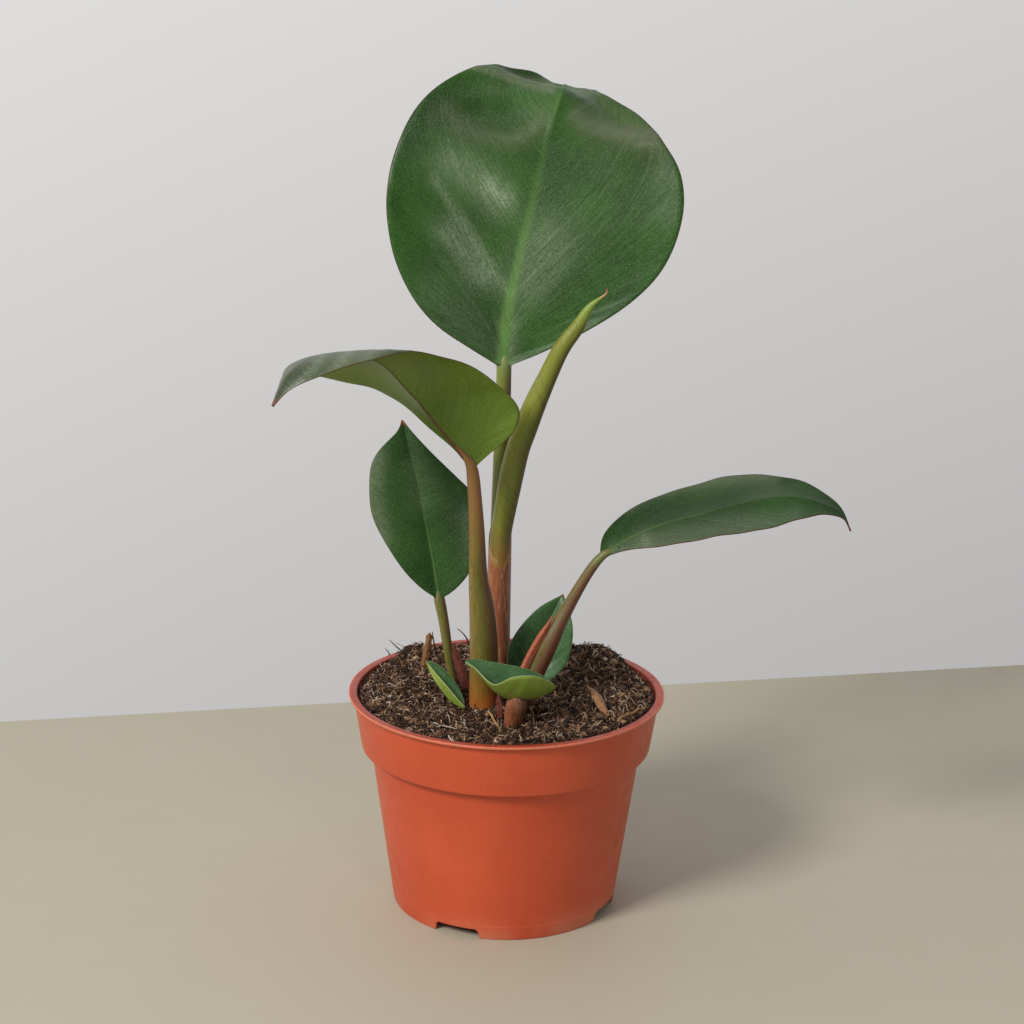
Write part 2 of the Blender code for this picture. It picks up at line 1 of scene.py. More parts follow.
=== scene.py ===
"""Looks of the potted philodendron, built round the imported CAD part.

Plant points are millimetres from the middle of the soil surface, as in the CAD source.
+X is right and +Y is back.
"""

import math
import random

import bmesh
import bpy
import numpy as np
from mathutils import Matrix, Vector, noise


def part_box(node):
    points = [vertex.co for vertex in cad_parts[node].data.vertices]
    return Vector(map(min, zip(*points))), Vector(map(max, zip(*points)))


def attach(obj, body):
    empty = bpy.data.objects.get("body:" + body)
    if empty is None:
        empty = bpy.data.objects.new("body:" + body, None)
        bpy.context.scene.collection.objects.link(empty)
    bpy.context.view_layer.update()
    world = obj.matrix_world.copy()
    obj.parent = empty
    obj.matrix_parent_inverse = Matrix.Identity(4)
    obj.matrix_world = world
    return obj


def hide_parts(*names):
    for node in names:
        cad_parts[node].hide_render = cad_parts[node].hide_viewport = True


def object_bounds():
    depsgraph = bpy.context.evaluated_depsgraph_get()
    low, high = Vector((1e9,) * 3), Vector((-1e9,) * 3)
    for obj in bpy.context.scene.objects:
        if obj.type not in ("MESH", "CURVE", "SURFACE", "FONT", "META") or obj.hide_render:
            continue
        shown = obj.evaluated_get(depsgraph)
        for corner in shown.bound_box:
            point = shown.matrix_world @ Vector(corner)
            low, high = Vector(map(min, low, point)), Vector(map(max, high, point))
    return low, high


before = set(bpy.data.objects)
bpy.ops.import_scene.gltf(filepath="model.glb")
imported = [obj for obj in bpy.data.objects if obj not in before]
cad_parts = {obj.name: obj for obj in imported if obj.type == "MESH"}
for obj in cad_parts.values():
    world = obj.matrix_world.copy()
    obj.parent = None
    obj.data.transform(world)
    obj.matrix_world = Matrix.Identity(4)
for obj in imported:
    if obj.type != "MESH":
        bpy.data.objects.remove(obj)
cad_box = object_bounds()

MM = 0.001
POT_LOW, POT_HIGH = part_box("pot")
AXIS = Vector(((POT_LOW.x + POT_HIGH.x) / 2, (POT_LOW.y + POT_HIGH.y) / 2, POT_LOW.z))
POT_HEIGHT = (POT_HIGH.z - POT_LOW.z) / MM
SOIL_TOP = (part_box("soil")[1].z - POT_LOW.z) / MM
BOX_MARGIN = 0.0001


def linear(colour):
    """A colour of red, green and blue as displayed, from 0 to 255, as Blender's linear colour."""
    shares = [value / 255 for value in colour]
    curved = [share / 12.92 if share <= 10 / 255 else ((share + 0.055) / 1.055) ** 2.4 for share in shares]
    return (*curved, 1.0)


# ---------------------------------------------------------------- shapes

# Curves on the top leaf, as (x, z) in plant millimetres: the lips of its two dents, the crest over the left
# one, and two creases beside veins.
RIM_LEFT = [(-26, 214), (-20, 209), (-10.7, 206), (-2, 204), (5.4, 207), (9.4, 211.6)]
RIM_RIGHT = [(22, 213), (27, 209.7), (35, 207.4), (45.7, 206), (50.4, 205.5)]
CREST = [(-15, 229.5), (-6, 227), (3.3, 223.5), (13.6, 221.5)]
FOLD_HIGH = [(-29.7, 191), (-16, 171), (-3, 151)]
FOLD_LOW = [(-41.7, 182), (-27, 162), (-9.3, 140.6)]

# A blade lies between its left margin, midrib and right margin. "cup" is its hollow as a share of its width,
# "rib" the midrib's width and its rise above and below, "wave" the margin's height and number of waves, and
# "fan" how far the veins sweep forward. "folds" and the two painted marks, a pale painted sheen and a
# greyish-tan painted highlight, follow curves seen from the front: (curve, width, rise or strength). "dents"
# are (centre, size, depth). "crests" are ridges across the blade: (place, counted in midrib points, width,
# rise). "step" and "columns" are how finely it is meshed.
BLADES = {
    "top_leaf_blade": {
        "left": [(-5.5, 11, 123.5), (-16, 10, 130), (-27.5, 9, 138), (-37, 9, 149), (-43.5, 10, 163.5),
                 (-46.5, 12, 180), (-45.5, 16, 195), (-39, 22, 212), (-29.5, 30, 223), (-14.5, 40, 230),
                 (-3, 52, 228.5), (9, 64, 225), (18, 74, 216)],
        "midrib": [(-3, 12, 123.5), (-3, 13, 128), (-2.5, 14, 134), (-1.5, 15, 143.5), (0.5, 17, 154),
                   (4, 20, 170), (8, 23, 187), (11.5, 27, 202.5), (15, 32, 215), (17.5, 40, 221),
                   (18.5, 54, 223), (19, 68, 222), (20, 76, 214)],
        "right": [(-0.5, 11, 123.5), (12.5, 11, 129), (28.5, 10, 137.5), (44, 10, 148.5), (55, 11, 160.5),
                  (61.5, 13, 177.5), (61, 18, 193.5), (54, 24, 205.5), (49.5, 34, 209.5), (42, 44, 215),
                  (33, 54, 219), (29, 64, 219), (22, 74, 212)],
        "cup": -0.04,
        "rib": (3.0, 0.4, 0.9), "wave": (0.5, 3.0), "fan": 0.62, "step": 8, "columns": 30,
        "dents": [((-10, 214), (17, 7.5), -4.8), ((36, 213), (13, 6), -4.2)],
        "crests": [(9.0, 0.42, 1.3), (10.3, 0.7, -4.0)],
        "folds": [
            (RIM_LEFT, 3.0, 0.7), (RIM_RIGHT, 2.6, 0.6), (FOLD_HIGH, 2.4, -0.6), (FOLD_LOW, 2.2, -0.35),
        ],
        "painted_sheen": [
            ([(-24, 197), (-13, 190), (-5, 182)], 6.5, 0.4), ([(-9, 189), (-4, 184)], 3.5, 0.4),
            ([(-24, 172), (-18, 164), (-12, 156)], 5.5, 0.45), ([(6, 156), (13, 168)], 11.0, 0.3),
            ([(-2, 126), (-1, 138)], 3.5, 0.5), (FOLD_HIGH, 1.9, 0.34), ([(-30, 150), (-12, 134)], 9.0, 0.16),
            (RIM_RIGHT, 2.2, 0.2), (CREST, 1.0, 0.4),
        ],
        "painted_highlight": [
            (RIM_LEFT, 3.6, 0.5), (RIM_RIGHT, 3.4, 0.5), ([(30, 212), (44, 209), (54, 202)], 9.0, 0.35),
            (CREST, 1.4, 0.6),
        ],
    },
    "left_leaf_blade": {
        "left": [(-12, -18, 92.5), (-7, -14, 96.5), (0.5, -11, 102), (4, -10, 111), (-2, -13, 119),
                 (-12.5, -22, 130), (-24.5, -33, 136), (-37, -45, 140), (-46.5, -58, 140),
                 (-56.5, -64, 139), (-65.5, -68, 136), (-74.5, -69, 132), (-80, -69, 126)],
        "midrib": [(-13.5, -18.5, 92.5), (-16.5, -19.5, 95.5), (-21.5, -21, 102.5), (-27, -23, 109.5),
                   (-32.5, -26, 117.5), (-38, -30, 124.5), (-46, -36, 135), (-57.5, -46, 139.5),
                   (-67, -52, 140), (-73, -61, 138), (-76.5, -65, 135), (-79, -67.5, 130),
                   (-80.5, -68.5, 125.5)],
        "right": [(-14.5, -18, 92.5), (-18, -14, 95), (-23.5, -8, 98.5), (-30.5, -4, 104), (-38, -2, 110),
                  (-45.5, -3, 115), (-54, -8, 119), (-65, -16, 123.5), (-75, -26, 128.5), (-79, -38, 131.5),
                  (-79, -50, 129.5), (-80, -61, 127.5), (-81, -68, 126)],
        "cup": 0.05,
        "rib": (2.0, 0.3, 0.6), "wave": (0.4, 2.0), "fan": 0.40, "step": 8, "columns": 26,
        "folds": [([(-32, 119), (-14, 118.5), (3, 120)], 2.5, 0.35)],
        "painted_sheen": [([(-47, 141), (-58, 136)], 1.5, 0.3), ([(-56, 141), (-66, 133)], 1.5, 0.35),
                  ([(-65, 140), (-73, 132)], 1.5, 0.3)],
        "painted_highlight": [([(-56, 137), (-40, 135), (-30, 131)], 6.0, 0.5)],
    },
    "lower_left_leaf_blade": {
        "left": [(-27.5, 5, 34.5), (-32.5, 4, 38), (-39.5, 3, 45.5), (-46.5, 2, 57), (-51.5, 3, 67),
                 (-52.5, 5, 76.5), (-52, 8, 86), (-47.5, 12, 92), (-42.5, 16, 96), (-41, 18.5, 100)],
        "midrib": [(-26.5, 6, 34), (-27, 6.5, 38), (-28, 7.5, 44.5), (-30, 9, 55), (-32, 10.5, 64.5),
                   (-34, 12, 74.5), (-36.5, 14, 84.5), (-39, 16, 92.5), (-40, 18, 97), (-41, 18.5, 100)],
        "right": [(-24.5, 5, 34.5), (-20, 4, 38), (-14.5, 3, 45), (-11, 2, 54.5), (-9.5, 3, 64.5),
                  (-11, 5, 72.5), (-16.5, 8, 78), (-26.5, 12, 86), (-36, 16, 95), (-40.5, 18.5, 100)],
        "cup": 0.05,
        "rib": (1.5, 0.25, 0.7), "wave": (0.3, 2.0), "fan": 0.40, "step": 8, "columns": 20,
        "painted_sheen": [([(-47, 58), (-50.5, 74), (-49.5, 88)], 3.4, 0.3), ([(-13, 52), (-15, 66)], 4.5, 0.2),
                  ([(-33, 70), (-36, 84)], 5.0, 0.12)],
        "painted_highlight": [([(-48, 60), (-51, 74), (-50, 86)], 3.0, 0.35)],
    },
    "right_leaf_blade": {
        "left": [(33.5, -17, 60.5), (34.5, -12, 65), (41, -5, 70.5), (54, 2, 76.5), (69, 6, 80),
                 (83.5, 7, 83.5), (97, 6, 84.5), (108.5, 0, 84), (117.5, -7, 80), (122, -13, 76.5),
                 (125, -16, 70)],
        "midrib": [(34.5, -18, 60), (38.5, -18, 62.5), (46, -18, 67), (56.5, -17.5, 71.5), (69.5, -17, 75),
                   (83.5, -16.5, 79), (96.5, -16, 82), (108, -16, 81.5), (117, -16, 78.5), (122, -16, 75.5),
                   (125, -16.5, 69.5)],
        "right": [(35.5, -19, 59), (40.5, -22, 62), (51, -30, 66.5), (62, -36, 70), (75.5, -38, 73),
                  (88.5, -37, 75.5), (100.5, -33, 77.5), (110, -27, 78), (117, -21, 77), (122, -18, 75),
                  (125, -17, 70)],
        "cup": -0.05,
        "rib": (1.6, 0.25, 0.8), "wave": (0.4, 2.5), "fan": 0.38, "step": 8, "columns": 22,
        "painted_sheen": [([(38, 61.5), (50, 66)], 2.0, 0.3), ([(50, 66), (80, 73.5), (104, 77)], 2.6, 0.2),
                  ([(44, 73.5), (60, 79), (80, 83), (98, 85)], 2.0, 0.2)],
        "painted_highlight": [([(50, 65), (70, 69), (90, 73)], 3.2, 0.5), ([(60, 79), (80, 83), (98, 85)], 2.4, 0.5)],
    },
    "small_back_leaf_blade": {
        "left": [(8.5, -8, 3.5), (3, -7.5, 7), (0, -6, 12.5), (1, -5, 20), (5, -3, 26.5), (12, -0.5, 33.5),
                 (20.5, 2.5, 37)],
        "midrib": [(9.5, -8, 3), (10, -6.5, 7.5), (11, -3, 11), (13, -1.5, 18.5), (15.5, 0, 26.5),
                   (18.5, 1.5, 33.5), (20.5, 2.5, 37.5)],
        "right": [(10.5, -8, 3.5), (17, -7.5, 7), (22.5, -6, 12.5), (24.5, -5, 20.5), (24.5, -3, 28),
                  (22.5, -0.5, 33), (21, 2.5, 37)],
        "cup": 0.06,
        "rib": (1.0, 0.2, 0.5), "wave": (0.2, 1.5), "fan": 0.40, "step": 10, "columns": 14,
    },
    "small_front_leaf_blade": {
        "left": [(-15, -32, 22.5), (-11.5, -30, 22.5), (-6.5, -29.5, 21.5), (-0.5, -29.5, 20.5),
                 (5, -29.5, 19.5), (11, -29.5, 17.5), (15, -31, 15.5), (18, -35, 14.5)],
        "midrib": [(-15, -33, 22.5), (-12, -36, 21.5), (-8.5, -38, 18.5), (-4, -38, 13), (2, -37, 9.5),
                   (8, -37, 10), (13, -37.5, 11.5), (18, -36, 14)],
        "right": [(-14.5, -34, 22.5), (-11.5, -38, 22), (-8, -41, 19.5), (-4, -44, 17.5), (1, -47, 21.5),
                  (7, -47, 22.5), (12.5, -44, 21), (18.5, -37, 15)],
        "cup": -0.10,
        "rib": (0.9, 0.15, 0.4), "wave": (0.15, 1.5), "fan": 0.35, "step": 10, "columns": 14,
    },
    "tiny_left_leaf": {
        "left": [(-30, -13, 15.5), (-26.5, -12.5, 14.5), (-23, -13, 12), (-19, -15.5, 8), (-16, -19, 3.5),
                 (-15.5, -23.5, 1.5)],
        "midrib": [(-30, -13.5, 15), (-28, -15.5, 11), (-24.5, -18.5, 7), (-21, -21, 3), (-17, -23.5, 1.5),
                   (-15.5, -24, 1)],
        "right": [(-29.5, -13.5, 15), (-27, -16, 12.5), (-23, -20, 9.5), (-19, -23, 5.5), (-16, -24.5, 2.5),
                  (-15, -24.5, 1.5)],
        "cup": -0.10,
        "rib": (0.6, 0.1, 0.3), "wave": (0.1, 1.0), "fan": 0.3, "step": 8, "columns": 10,
    },
}

# Dried scraps and the petiole's wing, between three curves as a blade is
SCRAPS = {
    "right_petiole_wing": {
        "left": [(15.9, -22.6, 37.6), (14.2, -23.4, 34.6), (9.8, -24.8, 28), (5.8, -26.3, 20), (1, -27.6, 9)],
        "midrib": [(16.3, -23.3, 37.4), (14.8, -24.2, 34.2), (10.5, -25.8, 27.4), (6.5, -27.3, 19.6),
                   (1.7, -28.6, 9)],
        "right": [(17, -22.8, 37), (16, -23, 34), (12.4, -24.4, 27), (8.6, -26, 19.4), (3.6, -28, 9)],
    },
    "dried_sheath_left": {
        "left": [(-21.4, -0.5, 17.5), (-20.4, -0.8, 12), (-18.6, -1.6, 6), (-17.2, -2.2, 1)],
        "midrib": [(-20.4, -1.6, 17.8), (-18.6, -2.2, 12), (-16.6, -3.2, 6), (-15.4, -3.8, 1)],
        "right": [(-19.2, -1, 17.4), (-16.8, -1.4, 12), (-14.6, -2.2, 6), (-13.4, -2.6, 1)],
    },
    "dried_sheath_front": {
        "left": [(-3.8, -33.2, 10), (-3.8, -33.2, 7), (-3.4, -33, 4), (-3, -32.6, 1)],
        "midrib": [(-2.8, -34.2, 10.4), (-2.6, -34.2, 7), (-2.4, -34, 4), (-2.2, -33.6, 1)],
        "right": [(-1.8, -34.6, 9.8), (-1.4, -34.6, 7), (-1.4, -34.6, 4), (-1.4, -34.4, 1)],
    },
    "dried_stub_back": {
        "left": [(-31.2, 19, 15.5), (-32, 19.6, 10), (-33, 20.8, 5), (-33.6, 21.6, 1)],
        "midrib": [(-30, 18.4, 15.8), (-30.8, 19, 10), (-31.8, 20, 5), (-32.4, 20.8, 1)],
        "right": [(-28.8, 19, 15.2), (-29.4, 19.8, 10), (-30.2, 20.8, 5), (-31, 21.6, 1)],
    },
    "dry_leaf_flake": {
        "left": [(29.4, 2.8, 0.8), (31.6, -6.2, 1.2), (32.8, -14.1, 1.2), (33.9, -22, 1), (37.3, -28.8, 0.6)],
        "midrib": [(30.2, 2.8, 1), (33.3, -6.2, 2.2), (34.7, -14.1, 2.2), (35.9, -22, 1.8),
                   (37.9, -28.5, 0.9)],
        "right": [(31.1, 2.8, 0.8), (35, -6.2, 1.2), (36.7, -14.1, 1.2), (37.3, -22, 1), (38.4, -28.3, 0.6)],
    },
}

# A stem's groove is its direction in degrees, its depth as a share of the radius and its width in radians.
# Every route starts at the soil's top, and the stem goes ROOT_DEPTH into it. A seat is the V that an end lies
# in: its y, its height there and its slope.
ROOT_DEPTH = 6
STEMS = {
    "top_leaf_petiole": {
        "route": [(-3.7, 11.5, 0), (-4, 11.5, 31.5), (-4, 11.5, 55.5), (-3.5, 12, 79),
                  (-3, 12.5, 102), (-2.8, 12.9, 117), (-2.8, 14, 123.5), (-2.8, 15.2, 129), (-2.6, 16.2, 136),
                  (-1.8, 17.2, 145), (0.5, 18.6, 157)],
        "radii": [3.2, 3.2, 3.2, 3.1, 3.0, 2.9, 2.8, 2.7, 1.9, 1.5, 1.1, 0.6],
        "groove": (-60, 0.10, 0.5),
    },
    "left_leaf_petiole": {
        "route": [(-8.5, -18, 0), (-8.5, -18, 22), (-9.5, -18, 39.5), (-11, -18, 49),
                  (-11.5, -18, 65.5), (-12.5, -18, 79.5), (-13.3, -18.2, 89), (-14.3, -19, 93.5),
                  (-17, -19.8, 97.2), (-21.8, -20.9, 102.8), (-27.4, -22.8, 109.6)],
        "radii": [5.2, 5.2, 5.2, 4.5, 3.5, 2.9, 2.5, 2.3, 1.8, 0.9, 0.6, 0.4],
        "groove": (-28, 0.13, 0.32),
    },
    "lower_left_leaf_petiole": {
        "route": [(-20, 3, 0), (-21.5, 3.5, 7.5), (-23, 4.5, 17), (-24.5, 5.5, 26.5),
                  (-26, 6.6, 33.2), (-27, 8, 38.5), (-28, 9, 45)],
        "radii": [1.6, 1.6, 1.6, 1.8, 2.0, 2.1, 1.3, 0.5],
        "groove": (-90, 0.14, 0.5),
    },
    "right_leaf_petiole": {
        "route": [(4, -24.6, 0), (6.3, -24.5, 6.5), (11.4, -23, 17.5), (15.6, -22, 27),
                  (20.7, -20.5, 37), (28, -19, 50.5), (32.4, -18.2, 57), (35.6, -18.2, 60.2),
                  (40, -18, 61.6), (47, -17.8, 65)],
        "radii": [3.6, 3.6, 3.7, 3.8, 3.5, 2.6, 2.0, 1.8, 1.5, 0.8, 0.4],
        "groove": (150, 0.15, 0.5),
    },
    "small_back_leaf_petiole": {
        "route": [(9, -9.5, 0), (9.4, -8.4, 2.4), (9.8, -7.2, 5.5), (10.6, -5, 9.5)],
        "radii": [1.2, 1.2, 1.2, 1.0, 0.5],
        "groove": (-90, 0.1, 0.5),
    },
    "small_front_leaf_stem": {
        "route": [(2.4, -36, 0), (3.2, -36.5, 4.5), (3.8, -37, 8), (4.2, -37.4, 12),
                  (4.6, -37.6, 13.5)],
        "radii": [3.3, 3.3, 3.6, 3.8, 2.6, 0.6],
        "groove": (-100, 0.12, 0.35),
        "seat": (-37.4, 8.9, 1.0),
    },
}

ROLLED_ROUTE = [(-3.6, 3.6, 0), (-3.6, 3.9, 30), (-3.4, 4, 57), (-1.5, 3.5, 69.5),
                (0.5, 3, 82), (3, 2.5, 94), (5.5, 2, 101), (8.5, 1.5, 110), (14, 1, 123), (18.5, 0, 133),
                (24, -0.5, 140.5), (27.5, -1, 147.5), (31.8, -1.5, 151.6), (33.9, -2, 153.4),
                (34.3, -2, 155.6)]
ROLLED_RADII = [3.0, 3.0, 3.4, 4.0, 4.2, 4.5, 4.4, 4.3, 4.1, 3.4, 3.0, 2.5, 1.5, 0.55, 0.32, 0.16]

# Loose strands. Their heights are above the soil's own surface.
STRANDS = {
    "root_strand": {
        "route": [(40.8, -33.4, 1), (43.6, -27.7, 1.6), (46.4, -24.3, 1.2), (50.4, -19.8, 1.4),
                  (53, -14.1, 0.8)],
        "radii": [0.3, 0.45, 0.4, 0.4, 0.25],
    },
    "front_twig": {
        "route": [(-7.6, -29.4, 1), (-6.4, -31.4, 1.3), (-5.1, -34, 1.5), (-3.4, -38, 1.2),
                  (-1.7, -41.6, 0.8)],
        "radii": [0.35, 0.42, 0.45, 0.4, 0.3],
    },
}


def spline(points, steps):
    """Catmull-Rom points through the given ones, with this many steps between neighbours."""
    points = np.asarray(points, float)
    ends = np.vstack([2 * points[0] - points[1], points, 2 * points[-1] - points[-2]])
    rows = []
    for before, start, end, after in zip(ends, ends[1:], ends[2:], ends[3:]):
        for t in np.arange(steps) / steps:
            rows.append(
                0.5 * (2 * start + (end - before) * t + (2 * before - 5 * start + 4 * end - after) * t**2
                       + (3 * start - before - 3 * end + after) * t**3)
            )
    rows.append(points[-1])
    return np.array(rows)


def spline_values(values, steps):
    return spline(np.array(values)[:, None], steps)[:, 0]


def relaxed(rows, passes):
    """The rows with the bends between them evened out. The ends stay."""
    rows = rows.copy()
    for _ in range(passes):
        rows[1:-1] += 0.25 * (rows[:-2] - 2 * rows[1:-1] + rows[2:])
    return rows


def lengths(route):
    """The distance along the route to each of its points."""
    return np.concatenate([[0], np.cumsum(np.linalg.norm(np.diff(route, axis=0), axis=1))])


def bell(distance, width):
    return np.exp(-((distance / width) ** 2))


def eased(distance, width):
    """0 at no distance, growing evenly to 1 at the width."""
    return np.clip(distance / width, 0, 1)


def raised(grid, normal, height):
    return grid + normal * height[..., None]


def round_angles(count):
    return np.arange(count) * 2 * np.pi / count


def unit(vectors):
    length = np.linalg.norm(vectors, axis=-1, keepdims=True)
    return vectors / np.maximum(length, 1e-9)


def link(name, data):
    made = bpy.data.objects.new(name, data)
    bpy.context.scene.collection.objects.link(made)
    return made


def make_object(name, points, faces, materials=(), floats=None, vectors=None, indices=None, smooth=True):
    """A mesh object from points in plant millimetres, with attributes on its points."""
    mesh = bpy.data.meshes.new(name)
    offset = np.array([AXIS.x, AXIS.y, AXIS.z + SOIL_TOP * MM])
    placed = np.asarray(points, float) * MM + offset
    placed = np.clip(placed, np.array(cad_box[0]) + BOX_MARGIN, np.array(cad_box[1]) - BOX_MARGIN)
    mesh.from_pydata(placed.tolist(), [], [list(map(int, face)) for face in faces])
    for key, values in (floats or {}).items():
        layer = mesh.attributes.new(key, "FLOAT", "POINT")
        layer.data.foreach_set("value", np.asarray(values, np.float32))
    for key, values in (vectors or {}).items():
        layer = mesh.attributes.new(key, "FLOAT_VECTOR", "POINT")
        layer.data.foreach_set("vector", np.asarray(values, np.float32).ravel())
    for material in materials:
        mesh.materials.append(material)
    if indices is not None:
        mesh.polygons.foreach_set("material_index", np.asarray(indices, np.int32))
    if smooth:
        mesh.shade_smooth()
    mesh.update()
    return link(name, mesh)


def closed_sheet(top, bottom):
    """Points and faces of a closed sheet between two grids, and whether each face is on the upper side."""
    rows, columns = top.shape[:2]
    count = rows * columns
    index = np.arange(count).reshape(rows, columns)
    a, b, c, d = index[:-1, :-1], index[:-1, 1:], index[1:, 1:], index[1:, :-1]
    upper = np.stack([a, b, c, d], -1).reshape(-1, 4)
    lower = upper[:, ::-1] + count
    border = np.concatenate([index[0, :-1], index[:-1, -1], index[-1, :0:-1], index[:0:-1, 0]])
    following = np.roll(border, -1)
    rim = np.stack([following, border, border + count, following + count], -1)
    faces = np.concatenate([upper, lower, rim])
    kinds = np.repeat([0, 1, 0], [len(upper), len(lower), len(rim)])
    points = np.concatenate([top.reshape(-1, 3), bottom.reshape(-1, 3)])
    return points, faces, kinds


def blade_surface(shape, step, columns):
    """A blade's middle surface as a grid, with its upward direction on the midrib, each point's distances
    from the midrib and the margin, the lengths along the midrib, and the columns' places from -1 to 1."""
    passes = 2 * step if "crests" not in shape else step // 2
    lines = (shape["left"], shape["midrib"], shape["right"])
    left, middle, right = (relaxed(spline(line, step), passes) for line in lines)
    across = np.linspace(-1, 1, 2 * columns + 1)
    across = np.sign(across) * np.abs(across) ** 1.15
    ahead = np.gradient(middle, axis=0)
    upward = unit(np.cross(right - left, ahead))
    upward[-1] = upward[-3]
    upward[-2] = upward[-3]
    upward[0] = upward[1]
    upward = unit(relaxed(upward, 2 * step))
    margin = np.where(across[None, :, None] < 0, left[:, None], right[:, None])
    reach = np.linalg.norm(margin - middle[:, None], axis=-1)
    share = np.abs(across)[None, :]
    bow = 4 * share * (1 - share) * shape.get("cup", 0.0) * reach
    grid = middle[:, None] + share[..., None] * (margin - middle[:, None])
    grid = grid + upward[:, None] * bow[..., None]
    return grid, upward, share * reach, (1 - share) * reach, lengths(middle), across


def nearness(grid, line, width):
    """How near each grid point is to a curve seen from the front: 1 on it, fading out over the width."""
    apart = grid[..., None, [0, 2]] - spline(line, 40)
    return np.exp(-(apart**2).sum(-1).min(-1) / width**2)


def grid_normals(grid, upward):
    normal = np.cross(np.gradient(grid, axis=1), np.gradient(grid, axis=0))
    size = np.linalg.norm(normal, axis=-1, keepdims=True)
    normal = np.where(size > 1e-3, normal / np.maximum(size, 1e-9), upward[:, None])
    flipped = (normal * upward[:, None]).sum(-1, keepdims=True) < 0
    return np.where(flipped & (size <= 1e-2), upward[:, None], normal)


def formed(grid, upward, from_rib, from_edge, t, across, shape):
    """The grid with the blade's waves, dents, folds and crests."""
    share = np.abs(across)[None, :]
    height, turns = shape["wave"]
    side = np.where(across[None, :] < 0, 0.0, 1.9)
    ripple = height * share**2 * np.sin(2 * np.pi * turns * t + side) * np.sin(np.pi * t) ** 0.5
    ripple += 0.35 * height * share**2 * np.sin(2 * np.pi * 2.7 * turns * t + 2.3 * side)
    normal = grid_normals(grid, upward)
    grid = raised(grid, normal, ripple)
    for (x, z), (wide, tall), depth in shape.get("dents", []):
        hollow = np.exp(-(((grid[..., 0] - x) / wide) ** 2) - ((grid[..., 2] - z) / tall) ** 2)
        hollow = hollow * eased(from_edge, 6) * eased(from_rib, 5) ** 0.5
        grid = raised(grid, normal, depth * hollow)
    for line, wide, rise in shape.get("folds", []):
        grid = raised(grid, normal, rise * nearness(grid, line, wide) * eased(from_edge, 4))
    station = (np.arange(len(t)) / shape["step"])[:, None]
    for middle, wide, rise in shape.get("crests", []):
        ridge = bell(station - middle, wide) * np.clip(0.9 - across[None, :] * 1.4, 0, 1)
        grid = raised(grid, normal, rise * ridge * eased(from_edge, 5))
    return grid


# Vein ripples on a blade: strength, spacing in millimetres and phase. Then the ripples' height, a blade's
# half-thickness at its margin, and how much that grows inwards, in millimetres.
VEIN_WAVES = [(1.0, 7.0, 0.0), (0.8, 11.3, 1.0)]
PLEAT_HEIGHT, MARGIN_THICKNESS, BLADE_SWELL = 0.07, 0.15, 0.12


def add_blade(name, shape, upper_look, lower_look):
    """A leaf blade: thin at its margin, with a raised midrib in a trench and low pleats along its veins."""
    grid, upward, from_rib, from_edge, along, across = blade_surface(shape, shape["step"], shape["columns"])
    t = (along / along[-1])[:, None]
    share = np.abs(across)[None, :]
    grid = formed(grid, upward, from_rib, from_edge, t, across, shape)
    normal = grid_normals(grid, upward)
    lead = np.maximum(shape["fan"] * share, 1e-4)
    vein = np.where(t > lead, (t - lead) / (1 - lead), -(1 - t / lead) * 0.5) * along[-1]
    wide, up, down = shape["rib"]
    taper = 1 - 0.8 * t
    rib = bell(from_rib, 0.62 * wide * taper + 0.15)
    trench = bell(from_rib, 1.5 * wide * taper + 0.4)
    swell = sum(size * np.cos(2 * np.pi * vein / apart + start) for size, apart, start in VEIN_WAVES)
    pleat = PLEAT_HEIGHT * swell * eased(from_rib, 6) * eased(from_edge, 4)
    thick = MARGIN_THICKNESS + BLADE_SWELL * eased(from_edge, 3) ** 0.5
    top = raised(grid, normal, thick + up * taper * (1.4 * rib - trench) + pleat)
    bottom = raised(grid, -normal, thick + down * taper * rib - pleat)
    points, faces, kinds = closed_sheet(top, bottom)
    levels = {
        "rib": from_rib / (wide * taper + 0.25),
        "edge": np.minimum(from_edge, np.minimum(t, 1 - t) * along[-1] + 0.1),
        "place": t,
    }
    # Painted light: a pale sheen and a greyish-tan highlight, as strong as the blade is near their curves.
    for mark in ("painted_sheen", "painted_highlight"):
        level = np.zeros(grid.shape[:2])
        for line, width, strength in shape.get(mark, []):
            level = level + strength * nearness(grid, line, width)
        levels[mark] = np.minimum(level, 1.0)
    # Each level serves the upper points, then the lower ones.
    size = grid.shape[:2]
    floats = {key: np.tile(np.broadcast_to(level, size).ravel(), 2) for key, level in levels.items()}
    flow = np.stack([vein, 0.06 * from_rib * np.sign(across)[None, :], np.broadcast_to(t, size)], -1)
    vectors = {"flow": np.tile(flow.reshape(-1, 3), (2, 1))}
    return make_object(name, points, faces, (upper_look, lower_look), floats, vectors, kinds)


# Half-thicknesses in millimetres of the dried scraps, and of the chips on the soil
SCRAP_HALF, CHIP_HALF = 0.22, 0.07


